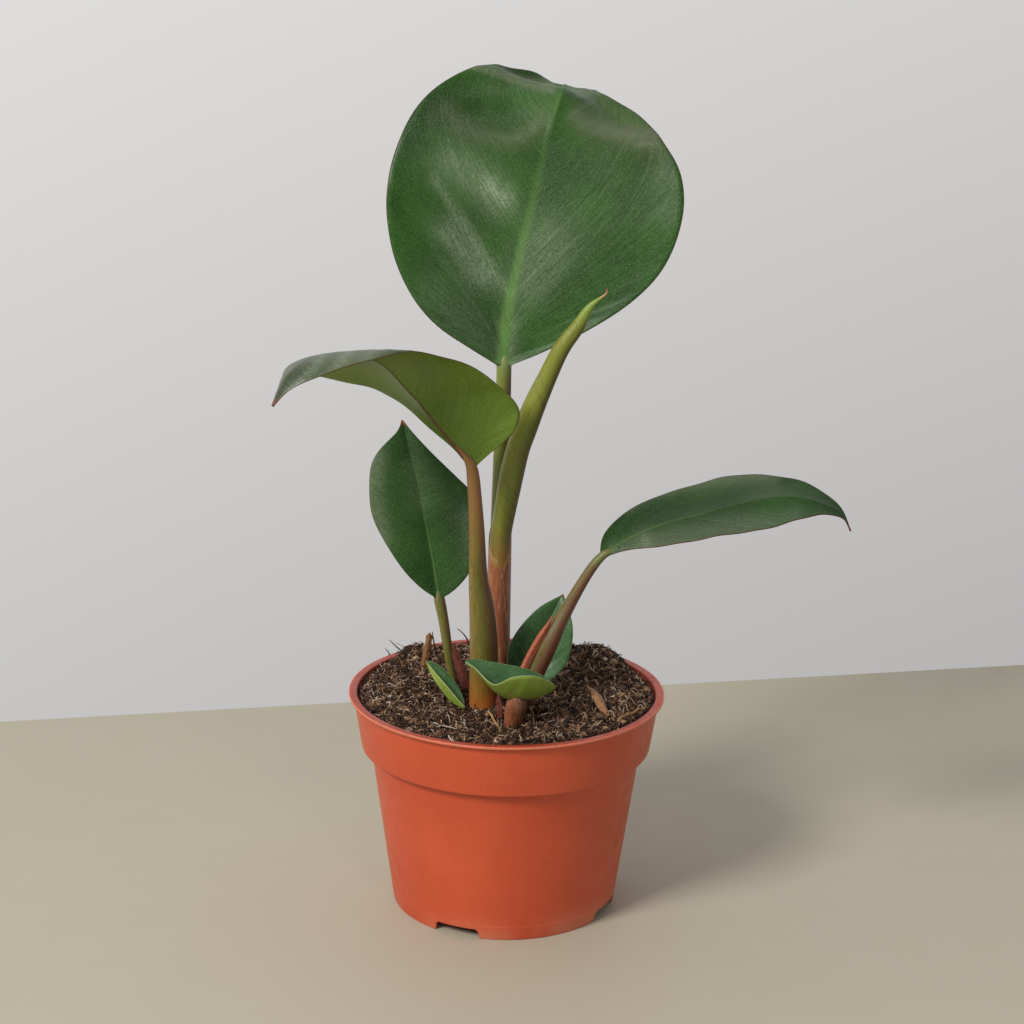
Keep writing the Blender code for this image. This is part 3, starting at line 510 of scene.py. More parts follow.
def add_scrap(name, shape, look, curl, rough, seed):
    """A small dried sheet with a ragged, crinkled surface."""
    grid, upward, _, _, along, across = blade_surface(shape, 8, 7)
    normal = grid_normals(grid, upward)
    crinkle = np.array([
        [noise.noise(Vector(point * 0.45) + Vector((seed, 0, 0))) for point in row] for row in grid
    ])
    share = (along / along[-1])[:, None]
    ends = np.sin(np.pi * np.clip(share, 0.02, 0.98)) ** 0.3
    ragged = np.array([noise.noise(Vector((seed, point[2] * 0.9, 0.5))) for point in grid[:, 0]])[:, None]
    narrow = np.clip(0.12 + (share + 0.12 * rough * ragged) * 4.0, 0.12, 1.0) * (1 + 0.25 * rough * ragged)
    spine = grid[:, grid.shape[1] // 2][:, None]
    grid = spine + (grid - spine) * narrow[..., None]
    grid = raised(grid, normal, curl * crinkle * ends)
    points, faces, _ = closed_sheet(grid + normal * SCRAP_HALF, grid - normal * SCRAP_HALF)
    rows, columns = grid.shape[:2]
    side = np.repeat([0.0, 1.0], rows * columns)
    flow = np.stack([np.tile(across, 2 * rows) * 3, side, np.tile(np.repeat(along, columns), 2) * 0.08], -1)
    return make_object(name, points, faces, (look,), vectors={"flow": flow})


def swept(route, section):
    """Rings round a route. section(row) gives each point's angle, from +X towards +Y, and its radius."""
    ahead = unit(np.gradient(route, axis=0))
    x_axis = unit(np.cross(ahead[0], np.array([0.0, 1.0, 0.0])) + np.array([1e-6, 0, 0]))
    rings = []
    for row, (centre, direction) in enumerate(zip(route, ahead)):
        x_axis = unit(x_axis - direction * np.dot(x_axis, direction))
        y_axis = np.cross(direction, x_axis)
        rings.append([
            centre + (x_axis * math.cos(angle) + y_axis * math.sin(angle)) * radius
            for angle, radius in section(row)
        ])
    return np.array(rings)


# How far a stem's grain pattern moves on with each millimetre along it
GRAIN_DRIFT = 0.07


def tube_mesh(rings):
    """Points and faces of a closed tube through the rings, with a fan at each end."""
    rows, sides = rings.shape[:2]
    index = np.arange(rows * sides).reshape(rows, sides)
    following = np.roll(index, -1, axis=1)
    faces = np.stack([index[:-1], following[:-1], following[1:], index[1:]], -1).reshape(-1, 4).tolist()
    low, high = rows * sides, rows * sides + 1
    faces += [[low, following[0, k], index[0, k]] for k in range(sides)]
    faces += [[high, index[-1, k], following[-1, k]] for k in range(sides)]
    points = np.concatenate([rings.reshape(-1, 3), [rings[0].mean(0), rings[-1].mean(0)]])
    return points, faces


def make_tube(name, rings, route, look, floats=None, vectors=None):
    """A tube. Its points know how far along they are, how they face across X, and the lengthwise grain."""
    points, faces = tube_mesh(rings)
    along = lengths(route)
    sides = rings.shape[1]
    distance = np.concatenate([np.repeat(along, sides), [along[0], along[-1]]])
    outward = rings - route[:, None]
    facing = np.concatenate([unit(outward)[..., 0].ravel(), [0, 0]])
    drift = np.stack([0 * along, 0 * along, along * GRAIN_DRIFT], -1)[:, None]
    grain = np.concatenate([(outward + drift).reshape(-1, 3), [[0, 0, 0], [0, 0, along[-1] * GRAIN_DRIFT]]])
    floats = {"along": distance, "place": distance / along[-1], "facing": facing, **(floats or {})}
    return make_object(name, points, faces, (look,), floats, {"flow": grain, **(vectors or {})})


# The low ridge at each side of a groove, as a share of the radius
GROOVE_LIP = 0.05


def rooted(route):
    """The route with a first point straight below its own, in the soil."""
    x, y, _ = route[0]
    return [(x, y, -ROOT_DEPTH), *route]


def add_stem(name, stem, look, sides=36):
    route = relaxed(spline(rooted(stem["route"]), 6), 8)
    radii = spline_values(stem["radii"], 6)
    turn, depth, wide = stem["groove"]
    angles = round_angles(sides)

    def section(row):
        off = (angles - math.radians(turn) + np.pi) % (2 * np.pi) - np.pi
        factor = 1 - depth * bell(off, wide) + GROOVE_LIP * bell(np.abs(off) - 1.7 * wide, 0.5 * wide)
        wobble = 1 + 0.012 * math.sin(row * 0.37 + radii[0] * 5)
        return zip(angles, radii[row] * factor * wobble)

    rings = swept(route, section)
    if "seat" in stem:
        # The end lies in the fold of its blade, so it stops at a V that opens upwards from the midrib.
        middle, low, slope = stem["seat"]
        rings[..., 2] = np.minimum(rings[..., 2], low + slope * np.abs(rings[..., 1] - middle))
    return make_tube(name, rings, route, look)


# The rolled leaf's seam, in degrees: where it starts, and how far it turns on its way up
SEAM_START, SEAM_TURN = 205, 60
# The step at the seam: its height in millimetres, and its width as a share of the way round
SEAM_STEP, SEAM_WIDTH = 0.5, 0.03


def add_rolled_leaf(look, sides=64):
    """A furled leaf: a spiral section whose outer edge steps down along a slowly turning seam."""
    route = relaxed(spline(rooted(ROLLED_ROUTE), 8), 10)
    radii = spline_values(ROLLED_RADII, 8)
    along = lengths(route)
    share = along / along[-1]
    angles = round_angles(sides)
    seam = np.radians(SEAM_START + SEAM_TURN * share)
    past_seam = ((angles[None, :] - seam[:, None]) % (2 * np.pi)) / (2 * np.pi)

    def section(row):
        off = past_seam[row]
        rise = SEAM_STEP * min(1.0, max(0.0, (share[row] - 0.32) * 8)) * min(1.0, (1 - share[row]) * 8)
        lift = np.where(off < SEAM_WIDTH, off / SEAM_WIDTH, 1 - (off - SEAM_WIDTH) / (1 - SEAM_WIDTH))
        flat = 1 - 0.07 * np.cos(2 * (angles - seam[row]))
        return zip(angles, radii[row] * flat * 0.97 + rise * (lift - 0.6))

    lines = along[:, None] + past_seam * 2 * np.pi * radii[:, None] * 0.8
    flow = np.stack([lines, np.sin(past_seam * 2 * np.pi), along[:, None] * 0.02 + 0 * past_seam], -1)
    floats = {"seam": np.concatenate([past_seam.ravel(), [0.5, 0.5]])}
    vectors = {"lines": np.concatenate([flow.reshape(-1, 3), np.zeros((2, 3))])}
    return make_tube("leaf_rolled", swept(route, section), route, look, floats, vectors)


# The sheath in millimetres, its slit in degrees, and the power of its superellipse
SHEATH_ROUTE = [(-3.7, 7.5, -3), (-3.7, 7.5, 1), (-3.7, 7.5, 28), (-3.3, 7.6, 57)]
SHEATH_REACH_X, SHEATH_REACH_Y, SHEATH_LENGTH, SHEATH_OUT, SHEATH_IN = 4.8, 8.9, 60, 0.15, 0.3
SHEATH_SLIT, SHEATH_POWER, SHEATH_COLUMNS = 36.0, 3.0, 72


def add_stem_sheath(look):
    """The papery sheath round the two middle stems: a superellipse, open at the back, with a ragged top."""
    centre = spline(SHEATH_ROUTE, 16)
    rows, columns = len(centre), SHEATH_COLUMNS + 1
    grid = np.zeros((rows, columns, 3))
    for row, middle in enumerate(centre):
        share = row / (rows - 1)
        for column in range(columns):
            turn = math.radians(90 + SHEATH_SLIT / 2 + (360 - SHEATH_SLIT) * column / SHEATH_COLUMNS)
            cosine, sine = math.cos(turn), math.sin(turn)
            ragged = noise.noise(Vector((cosine * 2.2, sine * 2.2, 3.1))) * 2.0
            uneven = noise.noise(Vector((cosine * 1.5, sine * 1.5, row * 0.12)))
            tight = 1 - 0.13 * share**2 + 0.014 * uneven
            reach_y = SHEATH_REACH_Y - (0.9 * share if sine < 0 else 0.0)
            grid[row, column] = middle + np.array([
                SHEATH_REACH_X * tight * math.copysign(abs(cosine) ** (2 / SHEATH_POWER), cosine),
                reach_y * tight * math.copysign(abs(sine) ** (2 / SHEATH_POWER), sine),
                (5.0 * sine + ragged) * share**4,
            ])
    normal = unit(np.cross(np.gradient(grid, axis=1), np.gradient(grid, axis=0)))
    points, faces, _ = closed_sheet(grid + normal * SHEATH_OUT, grid - normal * SHEATH_IN)
    along = np.tile(np.repeat(np.linspace(0, SHEATH_LENGTH, rows), columns), 2)
    outward = unit(grid - centre[:, None])
    rise = np.repeat(centre[:, 2:3] * GRAIN_DRIFT, columns, 1)
    flow = np.stack([outward[..., 0] * 6, outward[..., 1] * 6, rise], -1).reshape(-1, 3)
    facing = np.tile(outward[..., 0].ravel(), 2)
    floats = {"along": along, "place": along / SHEATH_LENGTH, "facing": facing}
    return make_object("sheath_stem", points, faces, (look,), floats, {"flow": np.tile(flow, (2, 1))})


# ---------------------------------------------------------------- pot and soil

# The pot's wall and radii, and heights up from its foot, in millimetres
POT_WALL = 1.3
RIM_RADIUS, COLLAR_TOP, COLLAR_BOTTOM, BODY_TOP = 60.0, 58.0, 54.9, 51.5
COLLAR_Z, BODY_BASE, FOOT_Z, FLOOR_Z = 62.4, 43.5, 5.5, 7.0
FOOT_TOP, FOOT_BASE = 43.45, 42.6
POT_SIDES = 192
# The notches in the foot ring and the holes in the floor behind them. The first notch's angle is in degrees.
NOTCH_COUNT, FIRST_NOTCH, NOTCH_RADIUS = 4, -114, 42.3
NOTCH_DEPTH, NOTCH_WIDTH, NOTCH_HEIGHT, NOTCH_LEAN, NOTCH_BEVEL = 7.8, 19.9, 8.0, 0.85, 0.5
HOLE_RADIUS, HOLE_PLACE, HOLE_Z, HOLE_DEPTH = 4.5, 31.6, 6.2, 6.0
# Edges sharper than this many degrees are shaded as edges.
SHARP_ANGLE = 38


def rounded(corners, steps=5):
    """The profile through (radius, height, rounding) corners, each turned into an arc of its own rounding."""
    points = [np.array(corner[:2], float) for corner in corners]
    result = [points[0]]
    for before, corner, after, (_, _, radius) in zip(points, points[1:], points[2:], corners[1:]):
        to_before, to_after = before - corner, after - corner
        reach = min(radius, 0.45 * np.linalg.norm(to_before), 0.45 * np.linalg.norm(to_after))
        start = corner + unit(to_before) * reach
        end = corner + unit(to_after) * reach
        for t in np.linspace(0, 1, steps):
            result.append((1 - t) ** 2 * start + 2 * t * (1 - t) * corner + t**2 * end)
    result.append(points[-1])
    return np.array(result)


def cutter(name, fill, place, turn):
    """A helper that a Boolean takes away. fill adds its mesh round the origin, and then it is placed."""
    mesh = bpy.data.meshes.new(name)
    work = bmesh.new()
    fill(work)
    stand = Matrix.Translation(place) @ Matrix.Rotation(turn, 4, "Z")
    bmesh.ops.transform(work, matrix=stand, verts=work.verts)
    work.to_mesh(mesh)
    work.free()
    return link(name, mesh)


def fill_notch(work):
    bmesh.ops.create_cube(work, size=1.0)
    for vert in work.verts:
        lean = NOTCH_LEAN if vert.co.z > 0 else 1.0
        size = (vert.co.x * NOTCH_DEPTH, vert.co.y * NOTCH_WIDTH * lean, vert.co.z * NOTCH_HEIGHT)
        vert.co = Vector(size) * MM
    bmesh.ops.bevel(work, geom=list(work.edges), offset=NOTCH_BEVEL * MM, segments=2, affect="EDGES")


def fill_hole(work):
    size = {"radius1": HOLE_RADIUS * MM, "radius2": HOLE_RADIUS * MM, "depth": HOLE_DEPTH * MM}
    bmesh.ops.create_cone(work, cap_ends=True, segments=40, **size)


def add_pot(look):
    """The turned shell, from the middle of the floor's inside over the lip to the middle of its underside."""
    top = POT_HEIGHT
    profile = rounded([
        (0, FLOOR_Z, 0), (BODY_BASE - POT_WALL, FLOOR_Z, 1.2),
        (BODY_TOP - POT_WALL, COLLAR_Z + POT_WALL, 0.8), (COLLAR_BOTTOM - POT_WALL, COLLAR_Z + POT_WALL, 0.8),
        (COLLAR_TOP - POT_WALL, top, 0.55), (RIM_RADIUS - 0.05, top, 0.4),
        (RIM_RADIUS - 0.1, top - 0.9, 0.35), (COLLAR_TOP - 0.1, top - 2.2, 1.2),
        (COLLAR_BOTTOM, COLLAR_Z, 0.9), (BODY_TOP, COLLAR_Z, 0.6), (BODY_BASE, FOOT_Z + 0.3, 0.3),
        (FOOT_TOP + 0.1, FOOT_Z, 0.25), (FOOT_BASE, 0.03, 0.4), (FOOT_BASE - POT_WALL, 0.03, 0.3),
        (FOOT_BASE - POT_WALL, FOOT_Z, 0.3), (0, FOOT_Z, 0),
    ])
    angles = round_angles(POT_SIDES)
    reach, height = profile[1:-1, :1], np.repeat(profile[1:-1, 1:2], POT_SIDES, 1)
    rings = np.stack([reach * np.cos(angles), reach * np.sin(angles), height - SOIL_TOP], -1)
    points, faces = tube_mesh(rings)
    points[-2] = (0, 0, FLOOR_Z - SOIL_TOP)
    points[-1] = (0, 0, FOOT_Z - SOIL_TOP)
    pot = make_object("pot_shell", points, [face[::-1] for face in faces])
    cutters = []
    for index in range(NOTCH_COUNT):
        angle = math.radians(FIRST_NOTCH + 360 // NOTCH_COUNT * index)
        out = Vector((math.cos(angle), math.sin(angle), 0))
        hole_at = AXIS + out * HOLE_PLACE * MM + Vector((0, 0, HOLE_Z * MM))
        cutters.append(cutter(f"notch_{index}", fill_notch, AXIS + out * NOTCH_RADIUS * MM, angle))
        cutters.append(cutter(f"hole_{index}", fill_hole, hole_at, angle))
    for helper in cutters:
        boolean = pot.modifiers.new(helper.name, "BOOLEAN")
        boolean.operation = "DIFFERENCE"
        boolean.solver = "EXACT"
        boolean.object = helper
    graph = bpy.context.evaluated_depsgraph_get()
    mesh = bpy.data.meshes.new_from_object(pot.evaluated_get(graph))
    pot.modifiers.clear()
    pot.data = mesh
    for helper in cutters:
        bpy.data.objects.remove(helper, do_unlink=True)
    mesh.materials.clear()
    mesh.materials.append(look)
    mesh.shade_smooth()
    mesh.set_sharp_from_angle(angle=math.radians(SHARP_ANGLE))
    return pot


# Banks of soil against the rim: rise, middle and spread in millimetres
SOIL_BANKS = [(5.4, (36, 38), (15, 10)), (4.8, (-36, 37), (8, 9)), (1.4, (-2, 46), (14, 9))]
SOIL_RIM, SOIL_DEPTH = 56.4, 16.0
# How far out from the middle the loose bits are strewn
CRUMB_LIMIT, FIBRE_START, CHIP_LIMIT = 54.5, 55.0, 53.0


def soil_height(x, y):
    """Height of the lumpy soil surface in millimetres above the CAD soil's top."""
    edge = min(1.0, math.hypot(x, y) / SOIL_RIM)
    mound = -1.3 * max(0.0, (edge - 0.6) / 0.4) ** 2
    where = Vector((x, y, 0.0))
    lumps = 1.9 * noise.noise(where * 0.085) + 1.5 * noise.noise(where * 0.21 + Vector((7, 3, 1)))
    grit = 1.0 * noise.noise(where * 0.55 + Vector((1, 9, 4))) + 0.5 * noise.noise(where * 1.3)
    banked = sum(
        rise * math.exp(-(((x - middle_x) / wide) ** 2) - ((y - middle_y) / deep) ** 2)
        for rise, (middle_x, middle_y), (wide, deep) in SOIL_BANKS
    )
    calm = 1 - 0.5 * edge**6
    return mound + (lumps + grit) * calm + banked - 0.5


def add_soil(look, rings=96, sides=240):
    angles = round_angles(sides)
    rows = []
    for r in np.linspace(0.6, 56.2, rings):
        ring = [(r * math.cos(a), r * math.sin(a)) for a in angles]
        rows.append([(x, y, soil_height(x, y)) for x, y in ring])
    for r, z in ((56.0, -6.0), (54.6, -SOIL_DEPTH), (30.0, -SOIL_DEPTH), (0.6, -SOIL_DEPTH)):
        rows.append([(r * math.cos(a), r * math.sin(a), z) for a in angles])
    points, faces = tube_mesh(np.array(rows))
    points[-2] = (0, 0, soil_height(0, 0))
    return make_object("soil_bed", points, [face[::-1] for face in faces], (look,))


# Each thick stem's place on the soil, and how far the loose bits stay from it
STEM_SPOTS = [(-8.5, -18, 5.6), (-3.7, 7.5, 8), (4, -24.6, 3.8), (2.4, -36, 3.6), (-20, 3, 2.2)]


def free_spot(rng, limit):
    """A random spot on the soil, away from the thick stems."""
    while True:
        r = limit * math.sqrt(rng.random())
        a = rng.random() * 2 * math.pi
        x, y = r * math.cos(a), r * math.sin(a)
        if all(math.hypot(x - cx, y - cy) > cr for cx, cy, cr in STEM_SPOTS):
            return x, y


# Upright bits and a pale sliver in the soil: tone, thickness in millimetres and route in plant millimetres.
SPRIGS = [
    (0.02, 0.35, [(-39, 36, 0), (-42.7, 37, 2.4), (-44.8, 38, 4), (-46.7, 38, 5.9)]),
    (0.8, 0.3, [(-36, 33, 1), (-39, 35, 2.5), (-42, 36.5, 4.2), (-44, 37, 5)]),
    (0.1, 0.5, [(-28, 36, 0.5), (-28.5, 37, 3), (-29.2, 38, 6.2), (-29.6, 38, 9.4)]),
    (0.05, 0.4, [(-14, 38, 2), (-16, 40, 6), (-18, 41, 8.4), (-20, 42, 9.6)]),
    (0.15, 0.3, [(-46, 37, -1), (-47, 38, 0.8), (-48.3, 38, 2.2)]),
    (1.0, 0.45, [(17.3, -40, -0.4), (19.1, -39, 0), (21.3, -38, 0.4)]),
]


class Heap:
    """Many small closed meshes gathered into one object, each with its own tone."""

    def __init__(self):
        self.points, self.faces, self.tones, self.total = [], [], [], 0

    def add(self, points, faces, tone):
        self.points.append(points)
        self.faces += [[index + self.total for index in face] for face in faces]
        self.tones.append(np.full(len(points), tone))
        self.total += len(points)

    def finish(self, name, look, smooth=True):
        points, floats = np.concatenate(self.points), {"tone": np.concatenate(self.tones)}
        return make_object(name, points, self.faces, (look,), floats, smooth=smooth)


def add_crumbs(look, count=3600):
    """Clods, bark bits and grit pressed into the soil surface, as one mesh of closed lumps."""
    rng = random.Random(11)
    ball = bmesh.new()
    bmesh.ops.create_icosphere(ball, subdivisions=2, radius=1.0)
    base = np.array([vert.co for vert in ball.verts])
    faces = [[vert.index for vert in face.verts] for face in ball.faces]
    ball.free()
    heap = Heap()
    for number in range(count):
        x, y = free_spot(rng, CRUMB_LIMIT)
        size = 0.22 + 1.25 * rng.random() ** 4
        stretch = np.array([rng.uniform(0.7, 1.7), rng.uniform(0.6, 1.1), rng.uniform(0.4, 0.85)]) * size
        offset = Vector((number * 0.37, 0, 0))
        bumps = np.array([1 + 0.55 * noise.noise(Vector(point * 1.9) + offset) for point in base])
        spin = Matrix.Rotation(rng.uniform(0, 6.28), 3, "Z")
        spin = spin @ Matrix.Rotation(rng.uniform(-0.5, 0.5), 3, "X")
        lump = (base * bumps[:, None] * stretch) @ np.array(spin).T
        centre = np.array([x, y, soil_height(x, y) + 0.2 * size])
        heap.add(lump + centre, faces, rng.random())
    return heap.finish("soil_crumbs", look, smooth=False)


FIBRE_KNOTS, FIBRE_SIDES = 7, 5
# A fibre that gets further out than the limit is drawn back to about the hold.
FIBRE_LIMIT, FIBRE_HOLD = 55.6, 55.4


def add_fibres(look, count=6000):
    """Coir and root fibres, thin closed tubes that lie and curl on the soil, and the upright sprigs."""
    rng = random.Random(23)
    angles = round_angles(FIBRE_SIDES)
    heap = Heap()
    for _ in range(count):
        x, y = free_spot(rng, FIBRE_START)
        long = rng.uniform(1.4, 5.0) if rng.random() < 0.85 else rng.uniform(5, 11)
        thick = rng.uniform(0.1, 0.2) if rng.random() < 0.75 else rng.uniform(0.2, 0.42)
        heading = rng.uniform(0, 2 * math.pi)
        bend = rng.gauss(0, 0.35)
        lift = rng.random() ** 3 * 2.0
        tilt = rng.uniform(-0.5, 0.8)
        line = []
        for knot in range(FIBRE_KNOTS):
            share = knot / (FIBRE_KNOTS - 1)
            arch = 4 * share * (1 - share) * lift + tilt * share
            line.append((x, y, soil_height(x, y) + 0.25 + max(-0.2, arch)))
            heading += bend / FIBRE_KNOTS * 1.6 + rng.gauss(0, 0.12)
            x += math.cos(heading) * long / FIBRE_KNOTS
            y += math.sin(heading) * long / FIBRE_KNOTS
            if math.hypot(x, y) > FIBRE_LIMIT:
                x *= FIBRE_HOLD / math.hypot(x, y)
                y *= FIBRE_HOLD / math.hypot(x, y)
        line = np.array(line)
        if len(np.unique(np.round(line, 3), axis=0)) < FIBRE_KNOTS:
            continue
        radii = [thick * (1 - 0.75 * (row / (FIBRE_KNOTS - 1)) ** 2) for row in range(FIBRE_KNOTS)]
        rings = swept(line, lambda row: [(angle, radii[row]) for angle in angles])
        heap.add(*tube_mesh(rings), rng.random() ** 1.25)
    for tone, thick, given in SPRIGS:
        line = spline(given, 4)
        rings = swept(line, lambda row: [(angle, thick * (1 - 0.7 * row / len(line))) for angle in angles])
        heap.add(*tube_mesh(rings), tone)
    return heap.finish("soil_fibres", look)


def add_chips(look, count=260):
    """Dry slivers of leaf and bark lying on the soil."""
    rng = random.Random(5)
    t = np.linspace(-1, 1, 9)[:, None]
    w = np.linspace(-1, 1, 5)[None, :]
    heap = Heap()
    for number in range(count):
        x, y = free_spot(rng, CHIP_LIMIT)
        long, wide = rng.uniform(1.5, 5.5), rng.uniform(0.35, 1.1)
        turn, tilt, roll = rng.uniform(0, 6.28), rng.uniform(-0.35, 0.35), rng.uniform(-0.8, 0.8)
        outline = np.sqrt(np.clip(1 - t**2, 0.03, 1)) * (1 + 0.2 * np.sin(5 * t + number))
        bow = 0.25 * wide * (1 - w**2) + 0.12 * long * t**2 * rng.uniform(-1, 1)
        grid = np.stack([t * long / 2 + 0 * w, w * wide / 2 * outline, bow], -1)
        spin = Matrix.Rotation(turn, 3, "Z") @ Matrix.Rotation(tilt, 3, "Y") @ Matrix.Rotation(roll, 3, "X")
        grid = grid @ np.array(spin).T + np.array([x, y, soil_height(x, y) + 0.6])
        normal = unit(np.cross(np.gradient(grid, axis=1), np.gradient(grid, axis=0)))
        points, faces, _ = closed_sheet(grid + normal * CHIP_HALF, grid - normal * CHIP_HALF)
        heap.add(points, faces.tolist(), rng.random())
    return heap.finish("soil_chips", look)


def add_strand(name, strand, look, sides=10):
    line = relaxed(spline(strand["route"], 6), 2)
    for row in line:
        row[2] = soil_height(row[0], row[1]) + row[2] + 0.3
    radii = spline_values(strand["radii"], 6)
    angles = round_angles(sides)
    rings = swept(line, lambda row: [(a, radii[row] * (1 + 0.15 * math.sin(3 * a + row))) for a in angles])
    return make_tube(name, rings, line, look)


# ---------------------------------------------------------------- materials


class Nodes:
    """Adds nodes to a tree. Each method returns an output socket; numbers, colours and sockets all go in."""

    def __init__(self, tree):
        self.tree = tree

    def feed(self, socket, value):
        if isinstance(value, bpy.types.NodeSocket):
            self.tree.links.new(value, socket)
        elif socket.type == "RGBA":
            socket.default_value = linear(value)
        else:
            socket.default_value = value

    def node(self, kind, inputs, **settings):
        made = self.tree.nodes.new(kind)
        for key, value in settings.items():
            setattr(made, key, value)
        for key, value in inputs.items():
            self.feed(made.inputs[key], value)
        return made

    def value(self, name):
        return self.node("ShaderNodeAttribute", {}, attribute_name=name).outputs["Fac"]

    def vector(self, name):
        return self.node("ShaderNodeAttribute", {}, attribute_name=name).outputs["Vector"]

    def place(self):
        return self.node("ShaderNodeTexCoord", {}).outputs["Object"]

    def noise(self, vector, scale, detail=4.0, rough=0.55):
        inputs = {"Vector": vector, "Scale": scale, "Detail": detail, "Roughness": rough}
        return self.node("ShaderNodeTexNoise", inputs).outputs["Fac"]

    def stretch(self, vector, scale):
        return self.node("ShaderNodeVectorMath", {0: vector, 1: scale}, operation="MULTIPLY").outputs[0]

    def drawn(self, vector, stretch, detail, rough=0.55):
        """Noise drawn out along the vector's axes."""
        return self.noise(self.stretch(vector, stretch), 1.0, detail, rough)

    def math(self, operation, a, b):
        return self.node("ShaderNodeMath", {0: a, 1: b}, operation=operation).outputs[0]

    def times(self, a, b):
        return self.math("MULTIPLY", a, b)

    def plus(self, a, b):
        return self.math("ADD", a, b)

    def band(self, value, low, high, start=0.0, end=1.0):
        """value taken from low..high to start..end, held at both ends, with a soft change."""
        inputs = {"Value": value, "From Min": low, "From Max": high, "To Min": start, "To Max": end}
        return self.node("ShaderNodeMapRange", inputs, interpolation_type="SMOOTHSTEP").outputs["Result"]

    def mix(self, factor, a, b):
        return self.node("ShaderNodeMix", {0: factor, 6: a, 7: b}, data_type="RGBA").outputs[2]

    def ramp(self, value, stops):
        made = self.node("ShaderNodeValToRGB", {"Fac": value})
        first, last = made.color_ramp.elements[0], made.color_ramp.elements[1]
        first.position, first.color = stops[0][0], linear(stops[0][1])
        last.position, last.color = stops[-1][0], linear(stops[-1][1])
        for position, colour in stops[1:-1]:
            made.color_ramp.elements.new(position).color = linear(colour)
        return made.outputs["Color"]

    def bump(self, height, distance, strength=1.0, under=None):
        made = self.node("ShaderNodeBump", {"Height": height, "Distance": distance, "Strength": strength})
        if under is not None:
            self.feed(made.inputs["Normal"], under)
        return made.outputs["Normal"]


class Look(Nodes):
    """One material. Its colour is built up by laying tints over one another."""

    def __init__(self, name, **settings):
        self.material = bpy.data.materials.new(name)
        self.material.use_nodes = True
        super().__init__(self.material.node_tree)
        self.shader = self.tree.nodes["Principled BSDF"]
        self.colour = None
        for key, value in settings.items():
            self.shader.inputs[key.replace("_", " ")].default_value = value

    def wash(self, tint, *shares):
        """Lays a tint over the colour, as strong as the share or the product of two shares."""
        share = self.times(*shares) if len(shares) == 2 else shares[0]
        self.colour = self.mix(share, self.colour, tint)

    def finish(self, roughness, normal):
        self.feed(self.shader.inputs["Base Color"], self.colour)
        self.feed(self.shader.inputs["Roughness"], roughness)
        self.feed(self.shader.inputs["Normal"], normal)
        return self.material


# Tints of the light painted on the leaves: a pale sheen and a greyish-tan highlight.
PAINTED_SHEEN_TINT, PAINTED_HIGHLIGHT_TINT = (168, 184, 156), (101, 106, 80)


def leaf_look(name, dark, light, rib, margin, tip, veins=0.35, rib_reach=(0.35, 1.0), rough=(0.34, 0.5),
              bump=0.00022, margin_width=0.12, coat=0.08, gloss=0.4, rib_fade=0.3, streaks=None):
    """A leaf surface: streaks that follow the veins, a midrib, a coloured margin and tip, fine grain, and a
    painted sheen and a painted highlight along the blade's marks.
    """
    look = Look(name, Specular_IOR_Level=gloss, Coat_Weight=coat, Coat_Roughness=0.28)
    flow = look.vector("flow")
    place = look.place()
    streak = look.drawn(flow, (1.6, 1.0, 1.0), 5.0, 0.6)
    fine = look.drawn(flow, (6.5, 1.5, 2.0), 3.0, 0.5)
    broad = look.noise(place, 26.0, 3.0)
    grain = look.noise(place, 1900.0, 2.0)
    look.colour = look.mix(look.band(broad, 0.35, 0.68), dark, light)
    streaks = streaks or rib
    look.wash(streaks, look.band(streak, 0.48, 0.72), veins)
    look.wash(streaks, look.band(fine, 0.52, 0.8), veins * 0.6)
    look.wash(streaks, look.band(grain, 0.5, 0.66), 0.4)
    look.wash(dark, look.band(grain, 0.34, 0.5, 1.0, 0.0), 0.4)
    # Painted sheen: a pale tint where the blade's sheen marks lie, streaked along the veins and speckled.
    shine = look.times(look.value("painted_sheen"), look.band(look.plus(streak, fine), 0.75, 1.25, 0.3, 1.0))
    shine = look.times(shine, look.band(look.noise(place, 900.0, 3.0), 0.35, 0.62, 0.55, 1.15))
    look.wash(PAINTED_SHEEN_TINT, shine)
    on_rib = look.band(look.value("rib"), rib_reach[0], rib_reach[1], 1.0, 0.0)
    fade = look.band(look.value("place"), 0.0, 0.6, 0.95, rib_fade)
    look.wash(rib, on_rib, fade)
    # Painted highlight: a greyish-tan tint along the dent lips and the crest and over broad patches, broken
    # up by the grain.
    painted_highlight = look.times(look.value("painted_highlight"), look.band(grain, 0.3, 0.7, 0.55, 1.0))
    look.wash(PAINTED_HIGHLIGHT_TINT, painted_highlight)
    wander = look.plus(look.value("edge"), look.times(look.noise(place, 300.0), 0.25))
    look.wash(margin, look.band(wander, margin_width, margin_width + 0.35, 1.0, 0.0))
    tipped = look.band(look.plus(look.value("place"), look.times(fine, 0.02)), 0.975, 1.005)
    look.wash(tip, tipped)
    mixed = look.plus(look.times(fine, 0.5), look.times(streak, 0.5))
    normal = look.bump(look.plus(streak, look.times(fine, 0.45)), bump)
    normal = look.bump(grain, 0.00004, 0.6, normal)
    return look.finish(look.band(mixed, 0.3, 0.7, rough[0], rough[1]), normal)


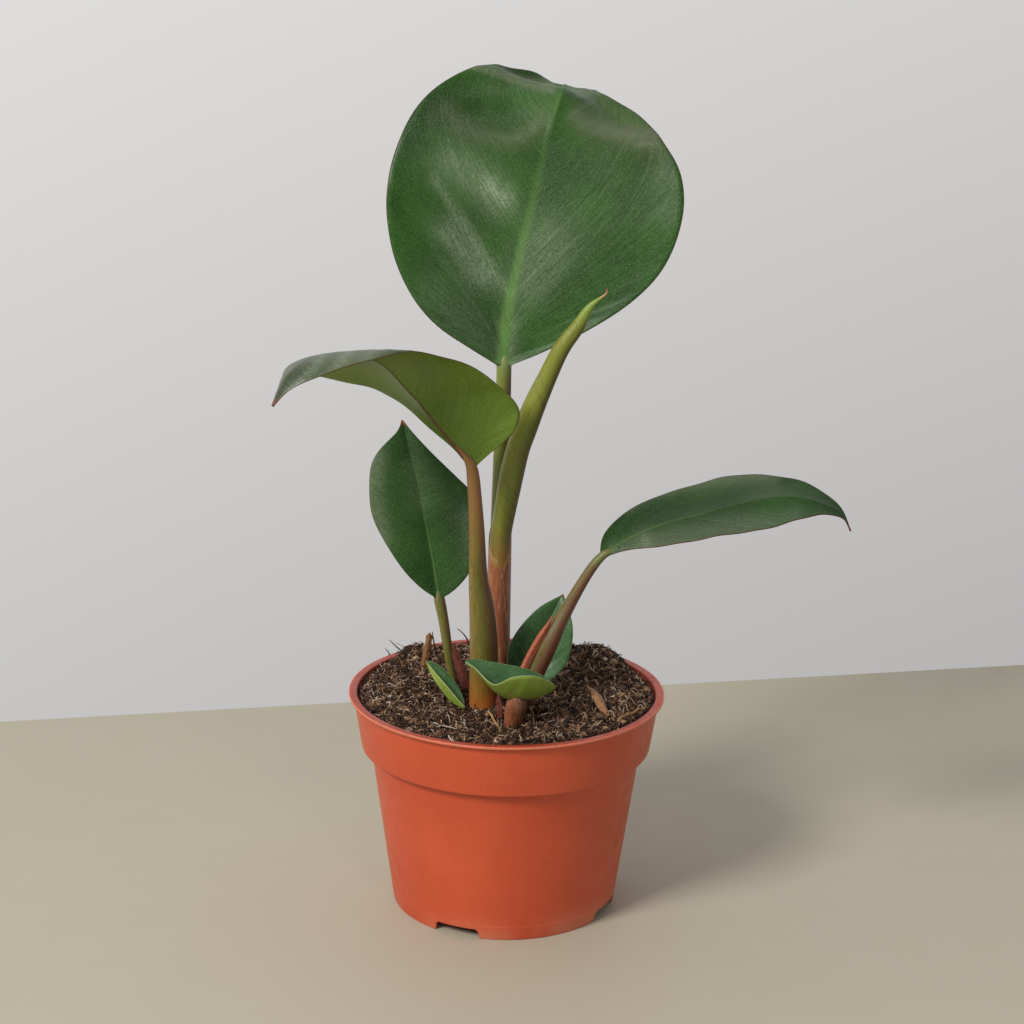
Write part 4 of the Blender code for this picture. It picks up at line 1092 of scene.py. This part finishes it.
def stem_look(name, across, base, base_reach, streaks, rough=(0.32, 0.5), amount=0.35, top=None):
    """A stem: colour from its left to its right side, its own green to red-brown with painted light and shade
    (lighter on the left, darker on the right), a base tint near the soil, and lengthwise lines.
    """
    look = Look(name, Specular_IOR_Level=0.45, Coat_Weight=0.1, Coat_Roughness=0.3)
    flow = look.vector("flow")
    lines = look.noise(flow, 2.6, 4.0, 0.6)
    fine = look.drawn(flow, (6.0, 6.0, 1.2), 3.0, 0.55)
    blotch = look.noise(look.place(), 90.0, 3.0)
    # The ramp runs from the side facing -X to the side facing +X: the stem's own colours, with a lighter left
    # and a darker right that are painted light and shade.
    facing = look.plus(look.times(look.value("facing"), 0.5), look.times(lines, 0.25))
    look.colour = look.ramp(look.plus(facing, 0.37), across)
    look.wash(streaks, look.band(lines, 0.45, 0.72), amount)
    look.wash(streaks, look.band(fine, 0.5, 0.78), amount * 0.8)
    reach = look.plus(look.value("along"), look.times(blotch, base_reach * 0.8))
    look.wash(base, look.band(reach, base_reach * 0.5, base_reach * 1.6, 1.0, 0.0))
    if top:
        start, end, strength, tint = top
        rise = look.plus(look.value("place"), look.times(lines, 0.04))
        look.wash(tint, look.band(rise, start + 0.02, end + 0.02, 0.0, strength))
    gloss = look.band(fine, 0.3, 0.7, rough[0], rough[1])
    normal = look.bump(look.plus(lines, look.times(fine, 0.6)), 0.00014)
    return look.finish(gloss, normal)


def dry_look(name, dark, light, rough=0.7):
    """A dried scrap: fibres along it, and darker patches."""
    look = Look(name, Specular_IOR_Level=0.3)
    lines = look.drawn(look.vector("flow"), (3.5, 1.0, 6.0), 5.0, 0.65)
    blotch = look.noise(look.place(), 500.0, 4.0)
    look.colour = look.mix(look.band(lines, 0.35, 0.68), dark, light)
    look.wash(dark, look.band(blotch, 0.5, 0.75, 0.0, 0.5))
    normal = look.bump(look.plus(lines, blotch), 0.0002)
    return look.finish(look.band(blotch, 0.2, 0.8, rough - 0.12, rough + 0.15), normal)


def pot_look():
    """Orange plastic with scuffs, dust at the foot, a painted highlight along the lip's outer edge, a painted
    shade on the inside of the wall, and dirt inside and on the lip.
    """
    look = Look("pot_plastic", Specular_IOR_Level=0.45)
    place = look.place()
    cloud = look.noise(place, 22.0, 4.0)
    speck = look.noise(place, 900.0, 3.0)
    drag = look.drawn(place, (60.0, 60.0, 600.0), 4.0)
    look.colour = look.mix(look.band(cloud, 0.3, 0.7), (190, 74, 42), (202, 84, 50))
    look.wash((226, 150, 118), look.band(speck, 0.55, 0.8, 0.0, 0.14))
    look.wash((160, 52, 26), look.band(drag, 0.58, 0.85, 0.0, 0.16))
    height = look.node("ShaderNodeSeparateXYZ", {0: place}).outputs["Z"]
    dust = look.times(look.band(height, 0.0, 0.012, 0.35, 0.0), look.band(cloud, 0.35, 0.6))
    look.wash((205, 150, 120), dust)
    off_axis = look.node("ShaderNodeVectorMath", {0: place, 1: tuple(-AXIS)}, operation="ADD").outputs[0]
    flat = look.stretch(off_axis, (1 / MM, 1 / MM, 0.0))
    radius = look.node("ShaderNodeVectorMath", {0: flat}, operation="LENGTH").outputs["Value"]
    high = look.band(height, AXIS.z + (POT_HEIGHT - 2.0) * MM, AXIS.z + (POT_HEIGHT - 1.2) * MM)
    top_face = look.times(high, look.band(radius, RIM_RADIUS - 0.8, RIM_RADIUS - 0.3, 1.0, 0.0))
    look.wash((150, 50, 34), top_face, 0.75)
    # Painted highlight: a pale, speckled line along the lip's outer edge.
    painted_highlight = look.times(high, look.band(radius, RIM_RADIUS - 0.6, RIM_RADIUS - 0.2))
    look.wash((226, 142, 112), painted_highlight, look.band(speck, 0.35, 0.65, 0.2, 0.8))
    # Painted shade: the inside of the wall is darkened from a few millimetres above the collar's lower edge
    # up to the lip.
    level = look.times(look.math("SUBTRACT", height, AXIS.z), 1 / MM)
    lean = (COLLAR_TOP - COLLAR_BOTTOM) / (POT_HEIGHT - COLLAR_Z)
    outer = look.plus(look.times(look.math("SUBTRACT", level, COLLAR_Z), lean), COLLAR_BOTTOM)
    inner = look.band(look.math("SUBTRACT", radius, outer), -POT_WALL + 0.2, -POT_WALL + 0.7, 1.0, 0.0)
    inner = look.times(inner, look.band(level, COLLAR_Z + 3, COLLAR_Z + 5))
    look.wash((120, 44, 32), inner, 0.6)
    dirt = look.times(look.band(speck, 0.5, 0.62), look.math("MAXIMUM", inner, look.times(high, 0.45)))
    look.wash((62, 34, 24), dirt, 0.8)
    gloss = look.band(look.noise(place, 140.0, 4.0), 0.3, 0.7, 0.36, 0.5)
    normal = look.bump(look.noise(place, 1500.0, 3.0), 0.00004, 0.5)
    normal = look.bump(drag, 0.00005, 0.5, normal)
    normal = look.bump(cloud, 0.0006, 0.25, normal)
    return look.finish(gloss, normal)


def soil_look():
    look = Look("soil_peat", Specular_IOR_Level=0.25)
    place = look.place()
    grit = look.noise(place, 900.0, 6.0, 0.65)
    clod = look.noise(place, 160.0, 5.0)
    look.colour = look.ramp(grit, [
        (0.30, (30, 19, 13)), (0.48, (58, 39, 28)), (0.6, (90, 64, 46)), (0.78, (140, 106, 76)),
    ])
    look.wash((22, 14, 10), look.band(clod, 0.35, 0.65, 0.55, 0.0))
    normal = look.bump(grit, 0.0009)
    return look.finish(look.band(grit, 0.2, 0.8, 0.75, 0.98), normal)


def tone_look(name, stops):
    """Loose bits of soil, each coloured by its own tone."""
    look = Look(name, Specular_IOR_Level=0.3)
    grit = look.noise(look.place(), 1400.0, 4.0, 0.6)
    look.colour = look.ramp(look.value("tone"), stops)
    look.wash((18, 11, 8), look.band(grit, 0.4, 0.75, 0.6, 0.0))
    normal = look.bump(grit, 0.0003)
    return look.finish(look.band(grit, 0.2, 0.8, 0.6, 0.9), normal)


def rolled_look():
    """The furled leaf: green to brown across it, lighter on its left and darker on its right as painted light
    and shade, lines along its seam with a painted highlight on the seam's edge, a brown foot and a pale dry
    tip.
    """
    look = Look("leaf_rolled", Specular_IOR_Level=0.45, Coat_Weight=0.12, Coat_Roughness=0.3)
    lines = look.drawn(look.vector("lines"), (1.3, 0.3, 1.0), 3.0, 0.6)
    broad = look.drawn(look.vector("flow"), (0.5, 0.5, 1.5), 3.0)
    streak = look.drawn(look.vector("flow"), (2.4, 2.4, 0.9), 4.0)
    # From its left side to its right: green to brown and lighter to darker, partly its own colour and partly
    # painted light and shade.
    facing = look.plus(look.times(look.value("facing"), 0.5), 0.5)
    look.colour = look.ramp(facing, [
        (0.05, (126, 130, 46)), (0.4, (118, 128, 38)), (0.72, (92, 98, 28)), (1.0, (72, 54, 26)),
    ])
    look.wash((74, 66, 20), look.band(lines, 0.5, 0.78, 0.0, 0.55))
    look.wash((140, 144, 62), look.band(lines, 0.25, 0.46, 0.35, 0.0))
    look.wash((104, 76, 30), look.band(streak, 0.55, 0.72, 0.0, 0.7))
    place = look.value("place")
    low = look.band(look.plus(place, look.times(broad, 0.12)), 0.36, 0.5, 1.0, 0.0)
    look.wash((140, 84, 46), low, 0.8)
    look.wash((122, 146, 52), look.band(place, 0.88, 0.94, 0.0, 0.8))
    look.wash((176, 132, 92), look.band(place, 0.966, 0.98))
    look.wash((132, 70, 52), look.band(place, 0.988, 1.0))
    # Painted highlight: a pale line along the seam's edge.
    look.wash((190, 180, 110), look.band(look.value("seam"), 0.012, 0.035, 0.85, 0.0))
    normal = look.bump(look.plus(lines, look.times(streak, 0.5)), 0.00016)
    return look.finish(look.band(lines, 0.3, 0.7, 0.34, 0.5), normal)


# ---------------------------------------------------------------- making

# Colours are red, green and blue as displayed, from 0 to 255. These are the margins' and tips'.
RED_EDGE = (86, 44, 34)
CREAM_EDGE = (160, 166, 122)
BROWN_TIP = (118, 62, 36)

leaf_dark = leaf_look(
    "leaf_dark", (26, 66, 14), (46, 92, 26), (100, 142, 68), RED_EDGE, BROWN_TIP, streaks=(86, 126, 56),
    veins=0.22, rib_reach=(0.1, 1.25), bump=0.0004, coat=0.12, gloss=0.3, rib_fade=0.12)
leaf_dark_under = leaf_look(
    "leaf_dark_under", (70, 98, 52), (88, 116, 62), (122, 130, 70), RED_EDGE, BROWN_TIP,
    veins=0.25, rib_reach=(0.25, 0.7), rough=(0.42, 0.55), coat=0.0)
leaf_plain = leaf_look(
    "leaf_plain", (30, 62, 24), (48, 84, 38), (86, 120, 64), RED_EDGE, BROWN_TIP,
    veins=0.18, rib_reach=(0.1, 0.5), rough=(0.42, 0.55), bump=0.00016, coat=0.03, gloss=0.2, rib_fade=0.15)
leaf_shade = leaf_look(
    "leaf_shade", (20, 50, 14), (36, 70, 26), (70, 102, 50), RED_EDGE, BROWN_TIP,
    veins=0.2, rib_reach=(0.1, 0.5), rough=(0.42, 0.55), bump=0.0002, coat=0.0, gloss=0.14, rib_fade=0.1)
leaf_flap = leaf_look(
    "leaf_flap", (40, 56, 32), (66, 80, 48), (98, 106, 72), (94, 72, 44), (104, 60, 44),
    veins=0.2, bump=0.00014, coat=0.15)
leaf_olive = leaf_look(
    "leaf_olive", (86, 114, 28), (110, 136, 42), (94, 62, 34), (96, 78, 40), (104, 60, 44),
    streaks=(132, 150, 66), veins=0.5, rib_reach=(0.12, 0.36), rough=(0.4, 0.52), bump=0.00012, coat=0.0,
    gloss=0.35, rib_fade=0.7)
leaf_young = leaf_look(
    "leaf_young", (42, 80, 40), (64, 104, 58), (104, 138, 92), CREAM_EDGE, BROWN_TIP,
    veins=0.2, bump=0.00012, margin_width=0.02, gloss=0.34)
leaf_bright = leaf_look(
    "leaf_bright", (108, 132, 46), (136, 158, 66), (112, 92, 42), CREAM_EDGE, BROWN_TIP,
    streaks=(152, 166, 84), veins=0.3, rib_reach=(0.2, 0.5), rough=(0.4, 0.55), bump=0.00012,
    margin_width=0.02, coat=0.0)

# The first ramp of each stem runs from its left side to its right side: its own green to red-brown, lighter
# on the left and darker on the right as painted light and shade.
green_stem = stem_look(
    "stem_green",
    [(0.1, (126, 132, 58)), (0.45, (110, 120, 46)), (0.75, (98, 86, 46)), (1.0, (96, 58, 44))],
    (140, 82, 50), 42.0, (86, 88, 38), amount=0.6, top=(0.74, 0.8, 0.8, (112, 132, 66)))
bronze_stem = stem_look(
    "stem_bronze",
    [(0.05, (136, 112, 50)), (0.26, (104, 98, 26)), (0.55, (82, 82, 16)), (0.8, (92, 62, 32)),
     (1.0, (78, 42, 30))],
    (176, 92, 38), 18.0, (66, 50, 20), amount=0.75, top=(0.45, 0.75, 0.7, (140, 96, 54)))
russet_stem = stem_look(
    "stem_russet",
    [(0.0, (122, 100, 50)), (0.3, (96, 84, 34)), (0.52, (100, 66, 34)), (0.8, (108, 48, 30)),
     (1.0, (66, 34, 26))],
    (118, 60, 36), 9.0, (70, 44, 26), amount=0.8, top=(0.76, 0.82, 0.8, (98, 104, 46)))
red_stem = stem_look(
    "stem_red",
    [(0.0, (140, 78, 50)), (0.35, (102, 54, 30)), (0.75, (76, 44, 26)), (1.0, (58, 32, 22))],
    (78, 40, 26), 5.0, (164, 112, 80), amount=0.8)
low_green_stem = stem_look(
    "stem_low_green",
    [(0.1, (118, 112, 48)), (0.5, (92, 96, 38)), (1.0, (96, 66, 42))],
    (126, 76, 52), 8.0, (74, 60, 30), amount=0.6)
sheath_look = stem_look(
    "sheath_red",
    [(0.0, (160, 100, 62)), (0.35, (146, 80, 48)), (0.62, (108, 50, 38)), (0.78, (140, 88, 64)),
     (1.0, (84, 42, 34))],
    (112, 58, 40), 12.0, (190, 140, 96), rough=(0.4, 0.6), amount=0.6,
    top=(0.93, 0.99, 0.7, (150, 128, 60)))
wing_look = dry_look("wing_red", (136, 60, 40), (196, 120, 88), 0.5)
maroon_look = dry_look("dried_maroon", (66, 26, 26), (134, 76, 58), 0.55)
tan_look = dry_look("dried_tan", (104, 68, 42), (186, 138, 94))
root_look = dry_look("root_tan", (120, 84, 50), (196, 158, 110))
crumb_look = tone_look("soil_crumbs", [
    (0.0, (20, 12, 8)), (0.4, (66, 45, 31)), (0.7, (124, 88, 63)), (0.92, (178, 138, 104)),
    (0.985, (204, 172, 140)), (1.0, (236, 228, 214)),
])
fibre_look = tone_look("soil_fibres", [
    (0.0, (34, 21, 14)), (0.35, (91, 61, 42)), (0.62, (163, 118, 88)), (0.86, (219, 184, 150)),
    (1.0, (246, 232, 208)),
])
chip_look = tone_look("soil_chips", [
    (0.0, (62, 40, 26)), (0.5, (110, 76, 50)), (0.85, (156, 116, 76)), (1.0, (206, 178, 130)),
])


def keep(piece, slot, *nodes):
    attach(piece, "root")
    if nodes:
        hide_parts(*nodes)


keep(add_pot(pot_look()), "pot_plastic", "pot")
keep(add_soil(soil_look()), "peat_soil", "soil")
keep(add_crumbs(crumb_look), "peat_soil")
keep(add_fibres(fibre_look), "peat_soil")
keep(add_chips(chip_look), "dried_tan")

BLADE_LOOKS = {
    "top_leaf_blade": ("leaf_top", leaf_dark, leaf_dark_under, "leaf_dark"),
    "left_leaf_blade": ("leaf_left", leaf_flap, leaf_olive, "leaf_olive"),
    "lower_left_leaf_blade": ("leaf_lower_left", leaf_plain, leaf_dark_under, "leaf_dark"),
    "right_leaf_blade": ("leaf_right", leaf_shade, leaf_dark_under, "leaf_dark"),
    "small_back_leaf_blade": ("leaf_small_back", leaf_young, leaf_bright, "leaf_young"),
    "small_front_leaf_blade": ("leaf_small_front", leaf_young, leaf_bright, "leaf_young"),
    "tiny_left_leaf": ("leaf_tiny", leaf_young, leaf_bright, "leaf_young"),
}
for node, (name, upper, lower, slot) in BLADE_LOOKS.items():
    keep(add_blade(name, BLADES[node], upper, lower), slot, node)

STEM_LOOKS = {
    "top_leaf_petiole": ("stem_top", green_stem, "petiole_green"),
    "left_leaf_petiole": ("stem_left", bronze_stem, "petiole_bronze"),
    "lower_left_leaf_petiole": ("stem_lower_left", low_green_stem, "petiole_green"),
    "right_leaf_petiole": ("stem_right", russet_stem, "petiole_bronze"),
    "small_back_leaf_petiole": ("stem_small_back", low_green_stem, "petiole_green"),
    "small_front_leaf_stem": ("stem_small_front", red_stem, "petiole_red"),
}
for node, (name, look, slot) in STEM_LOOKS.items():
    keep(add_stem(name, STEMS[node], look), slot, node)

keep(add_rolled_leaf(rolled_look()), "rolled_leaf", "rolled_new_leaf")
keep(add_stem_sheath(sheath_look), "petiole_red", "stem_sheath")

SCRAP_LOOKS = {
    "right_petiole_wing": ("wing_right", wing_look, "petiole_red"),
    "dried_sheath_left": ("dried_left", maroon_look, "dried_sheath"),
    "dried_sheath_front": ("dried_front", maroon_look, "dried_sheath"),
    "dried_stub_back": ("dried_stub", tan_look, "dried_tan"),
    "dry_leaf_flake": ("dried_flake", tan_look, "dried_tan"),
}
for seed, (node, (name, look, slot)) in enumerate(SCRAP_LOOKS.items()):
    curl, rough = (0.05, 0.15) if node == "right_petiole_wing" else (0.25, 1.0)
    keep(add_scrap(name, SCRAPS[node], look, curl, rough, seed * 3.7), slot, node)
for node, name in (("root_strand", "root_pale"), ("front_twig", "twig_front")):
    keep(add_strand(name, STRANDS[node], root_look), "root_fibre", node)


# ---------------------------------------------------------------- floor, light and camera

# Metres from the pot's axis. The floor's far edge slants, as it does in the photo.
FLOOR_CORNERS = [(-1.6, -1.5), (1.6, -1.5), (1.6, 0.549), (-1.6, -0.107)]
CAMERA_AT = Vector((0.001, -0.8647, 0.4031))
CAMERA_PITCH = math.radians(16.073)
CAMERA_ROLL = 0.0159
LENS, SENSOR = 85.0, 36.0
WALL_COLOUR = (1.0, 0.985, 0.975, 1.0)


def add_floor():
    table = Look("table_top", Specular_IOR_Level=0.3)
    place = table.place()
    table.colour = table.mix(table.noise(place, 6.0, 3.0), (173, 167, 149), (179, 173, 155))
    rough = table.band(table.noise(place, 60.0), 0.3, 0.7, 0.55, 0.65)
    normal = table.bump(table.noise(place, 700.0), 0.00005, 0.4)
    mesh = bpy.data.meshes.new("floor")
    mesh.from_pydata([(AXIS.x + x, AXIS.y + y, AXIS.z) for x, y in FLOOR_CORNERS], [], [(0, 1, 2, 3)])
    mesh.materials.append(table.finish(rough, normal))
    return link("floor", mesh)


def add_world():
    """A plain studio: a pale wall, darker to the right and lower down, and a dimmer room in front of it."""
    world = bpy.data.worlds.new("studio")
    world.use_nodes = True
    sky = Nodes(world.node_tree)
    way = sky.node("ShaderNodeTexCoord", {}).outputs["Generated"]
    split = sky.node("ShaderNodeSeparateXYZ", {0: way}).outputs

    def ranged(value, low, high, start, end):
        inputs = {"Value": value, "From Min": low, "From Max": high, "To Min": start, "To Max": end}
        return sky.node("ShaderNodeMapRange", inputs).outputs["Result"]

    across = ranged(split["X"], -0.25, 1.0, 0.08, -0.26)
    height = ranged(split["Z"], -0.5, 0.1, 0.405, 0.775)
    depth = ranged(split["Y"], -0.4, 0.6, 0.40, 1.0)
    background = world.node_tree.nodes["Background"]
    background.inputs["Color"].default_value = WALL_COLOUR
    sky.feed(background.inputs["Strength"], sky.times(sky.plus(height, across), depth))
    bpy.context.scene.world = world


def add_softbox(name, location, target, size, power, colour):
    """A rectangular light. Place, target and size are in metres, from the middle of the pot's foot."""
    data = bpy.data.lights.new(name, "AREA")
    data.shape = "RECTANGLE"
    data.size, data.size_y = size
    data.energy = power
    data.color = colour
    lamp = link(name, data)
    lamp.location = AXIS + Vector(location)
    lamp.rotation_euler = (AXIS + Vector(target) - lamp.location).to_track_quat("-Z", "Y").to_euler()


def add_camera():
    """The camera at the photograph's place, pitch and roll."""
    ahead = Vector((0, math.cos(CAMERA_PITCH), -math.sin(CAMERA_PITCH)))
    level_up = Vector((0, math.sin(CAMERA_PITCH), math.cos(CAMERA_PITCH)))
    level_right = Vector((1, 0, 0))
    right = math.cos(CAMERA_ROLL) * level_right + math.sin(CAMERA_ROLL) * level_up
    up = -math.sin(CAMERA_ROLL) * level_right + math.cos(CAMERA_ROLL) * level_up
    data = bpy.data.cameras.new("camera")
    data.lens = LENS
    data.sensor_width = SENSOR
    camera = link("camera", data)
    camera.matrix_world = Matrix((
        (right.x, up.x, -ahead.x, AXIS.x + CAMERA_AT.x),
        (right.y, up.y, -ahead.y, AXIS.y + CAMERA_AT.y),
        (right.z, up.z, -ahead.z, AXIS.z + CAMERA_AT.z),
        (0, 0, 0, 1),
    ))
    bpy.context.scene.camera = camera


floor = add_floor()
add_world()
add_softbox("key", (-1.0, -1.12, 1.28), (0, 0, 0.12), (0.5, 0.5), 31.0, (1.0, 0.97, 0.93))
add_softbox("sheen", (0.42, -1.2, 0.66), (0, 0, 0.2), (0.16, 0.5), 1.6, (1.0, 1.0, 1.0))
add_camera()
bpy.context.scene.view_settings.view_transform = "Standard"
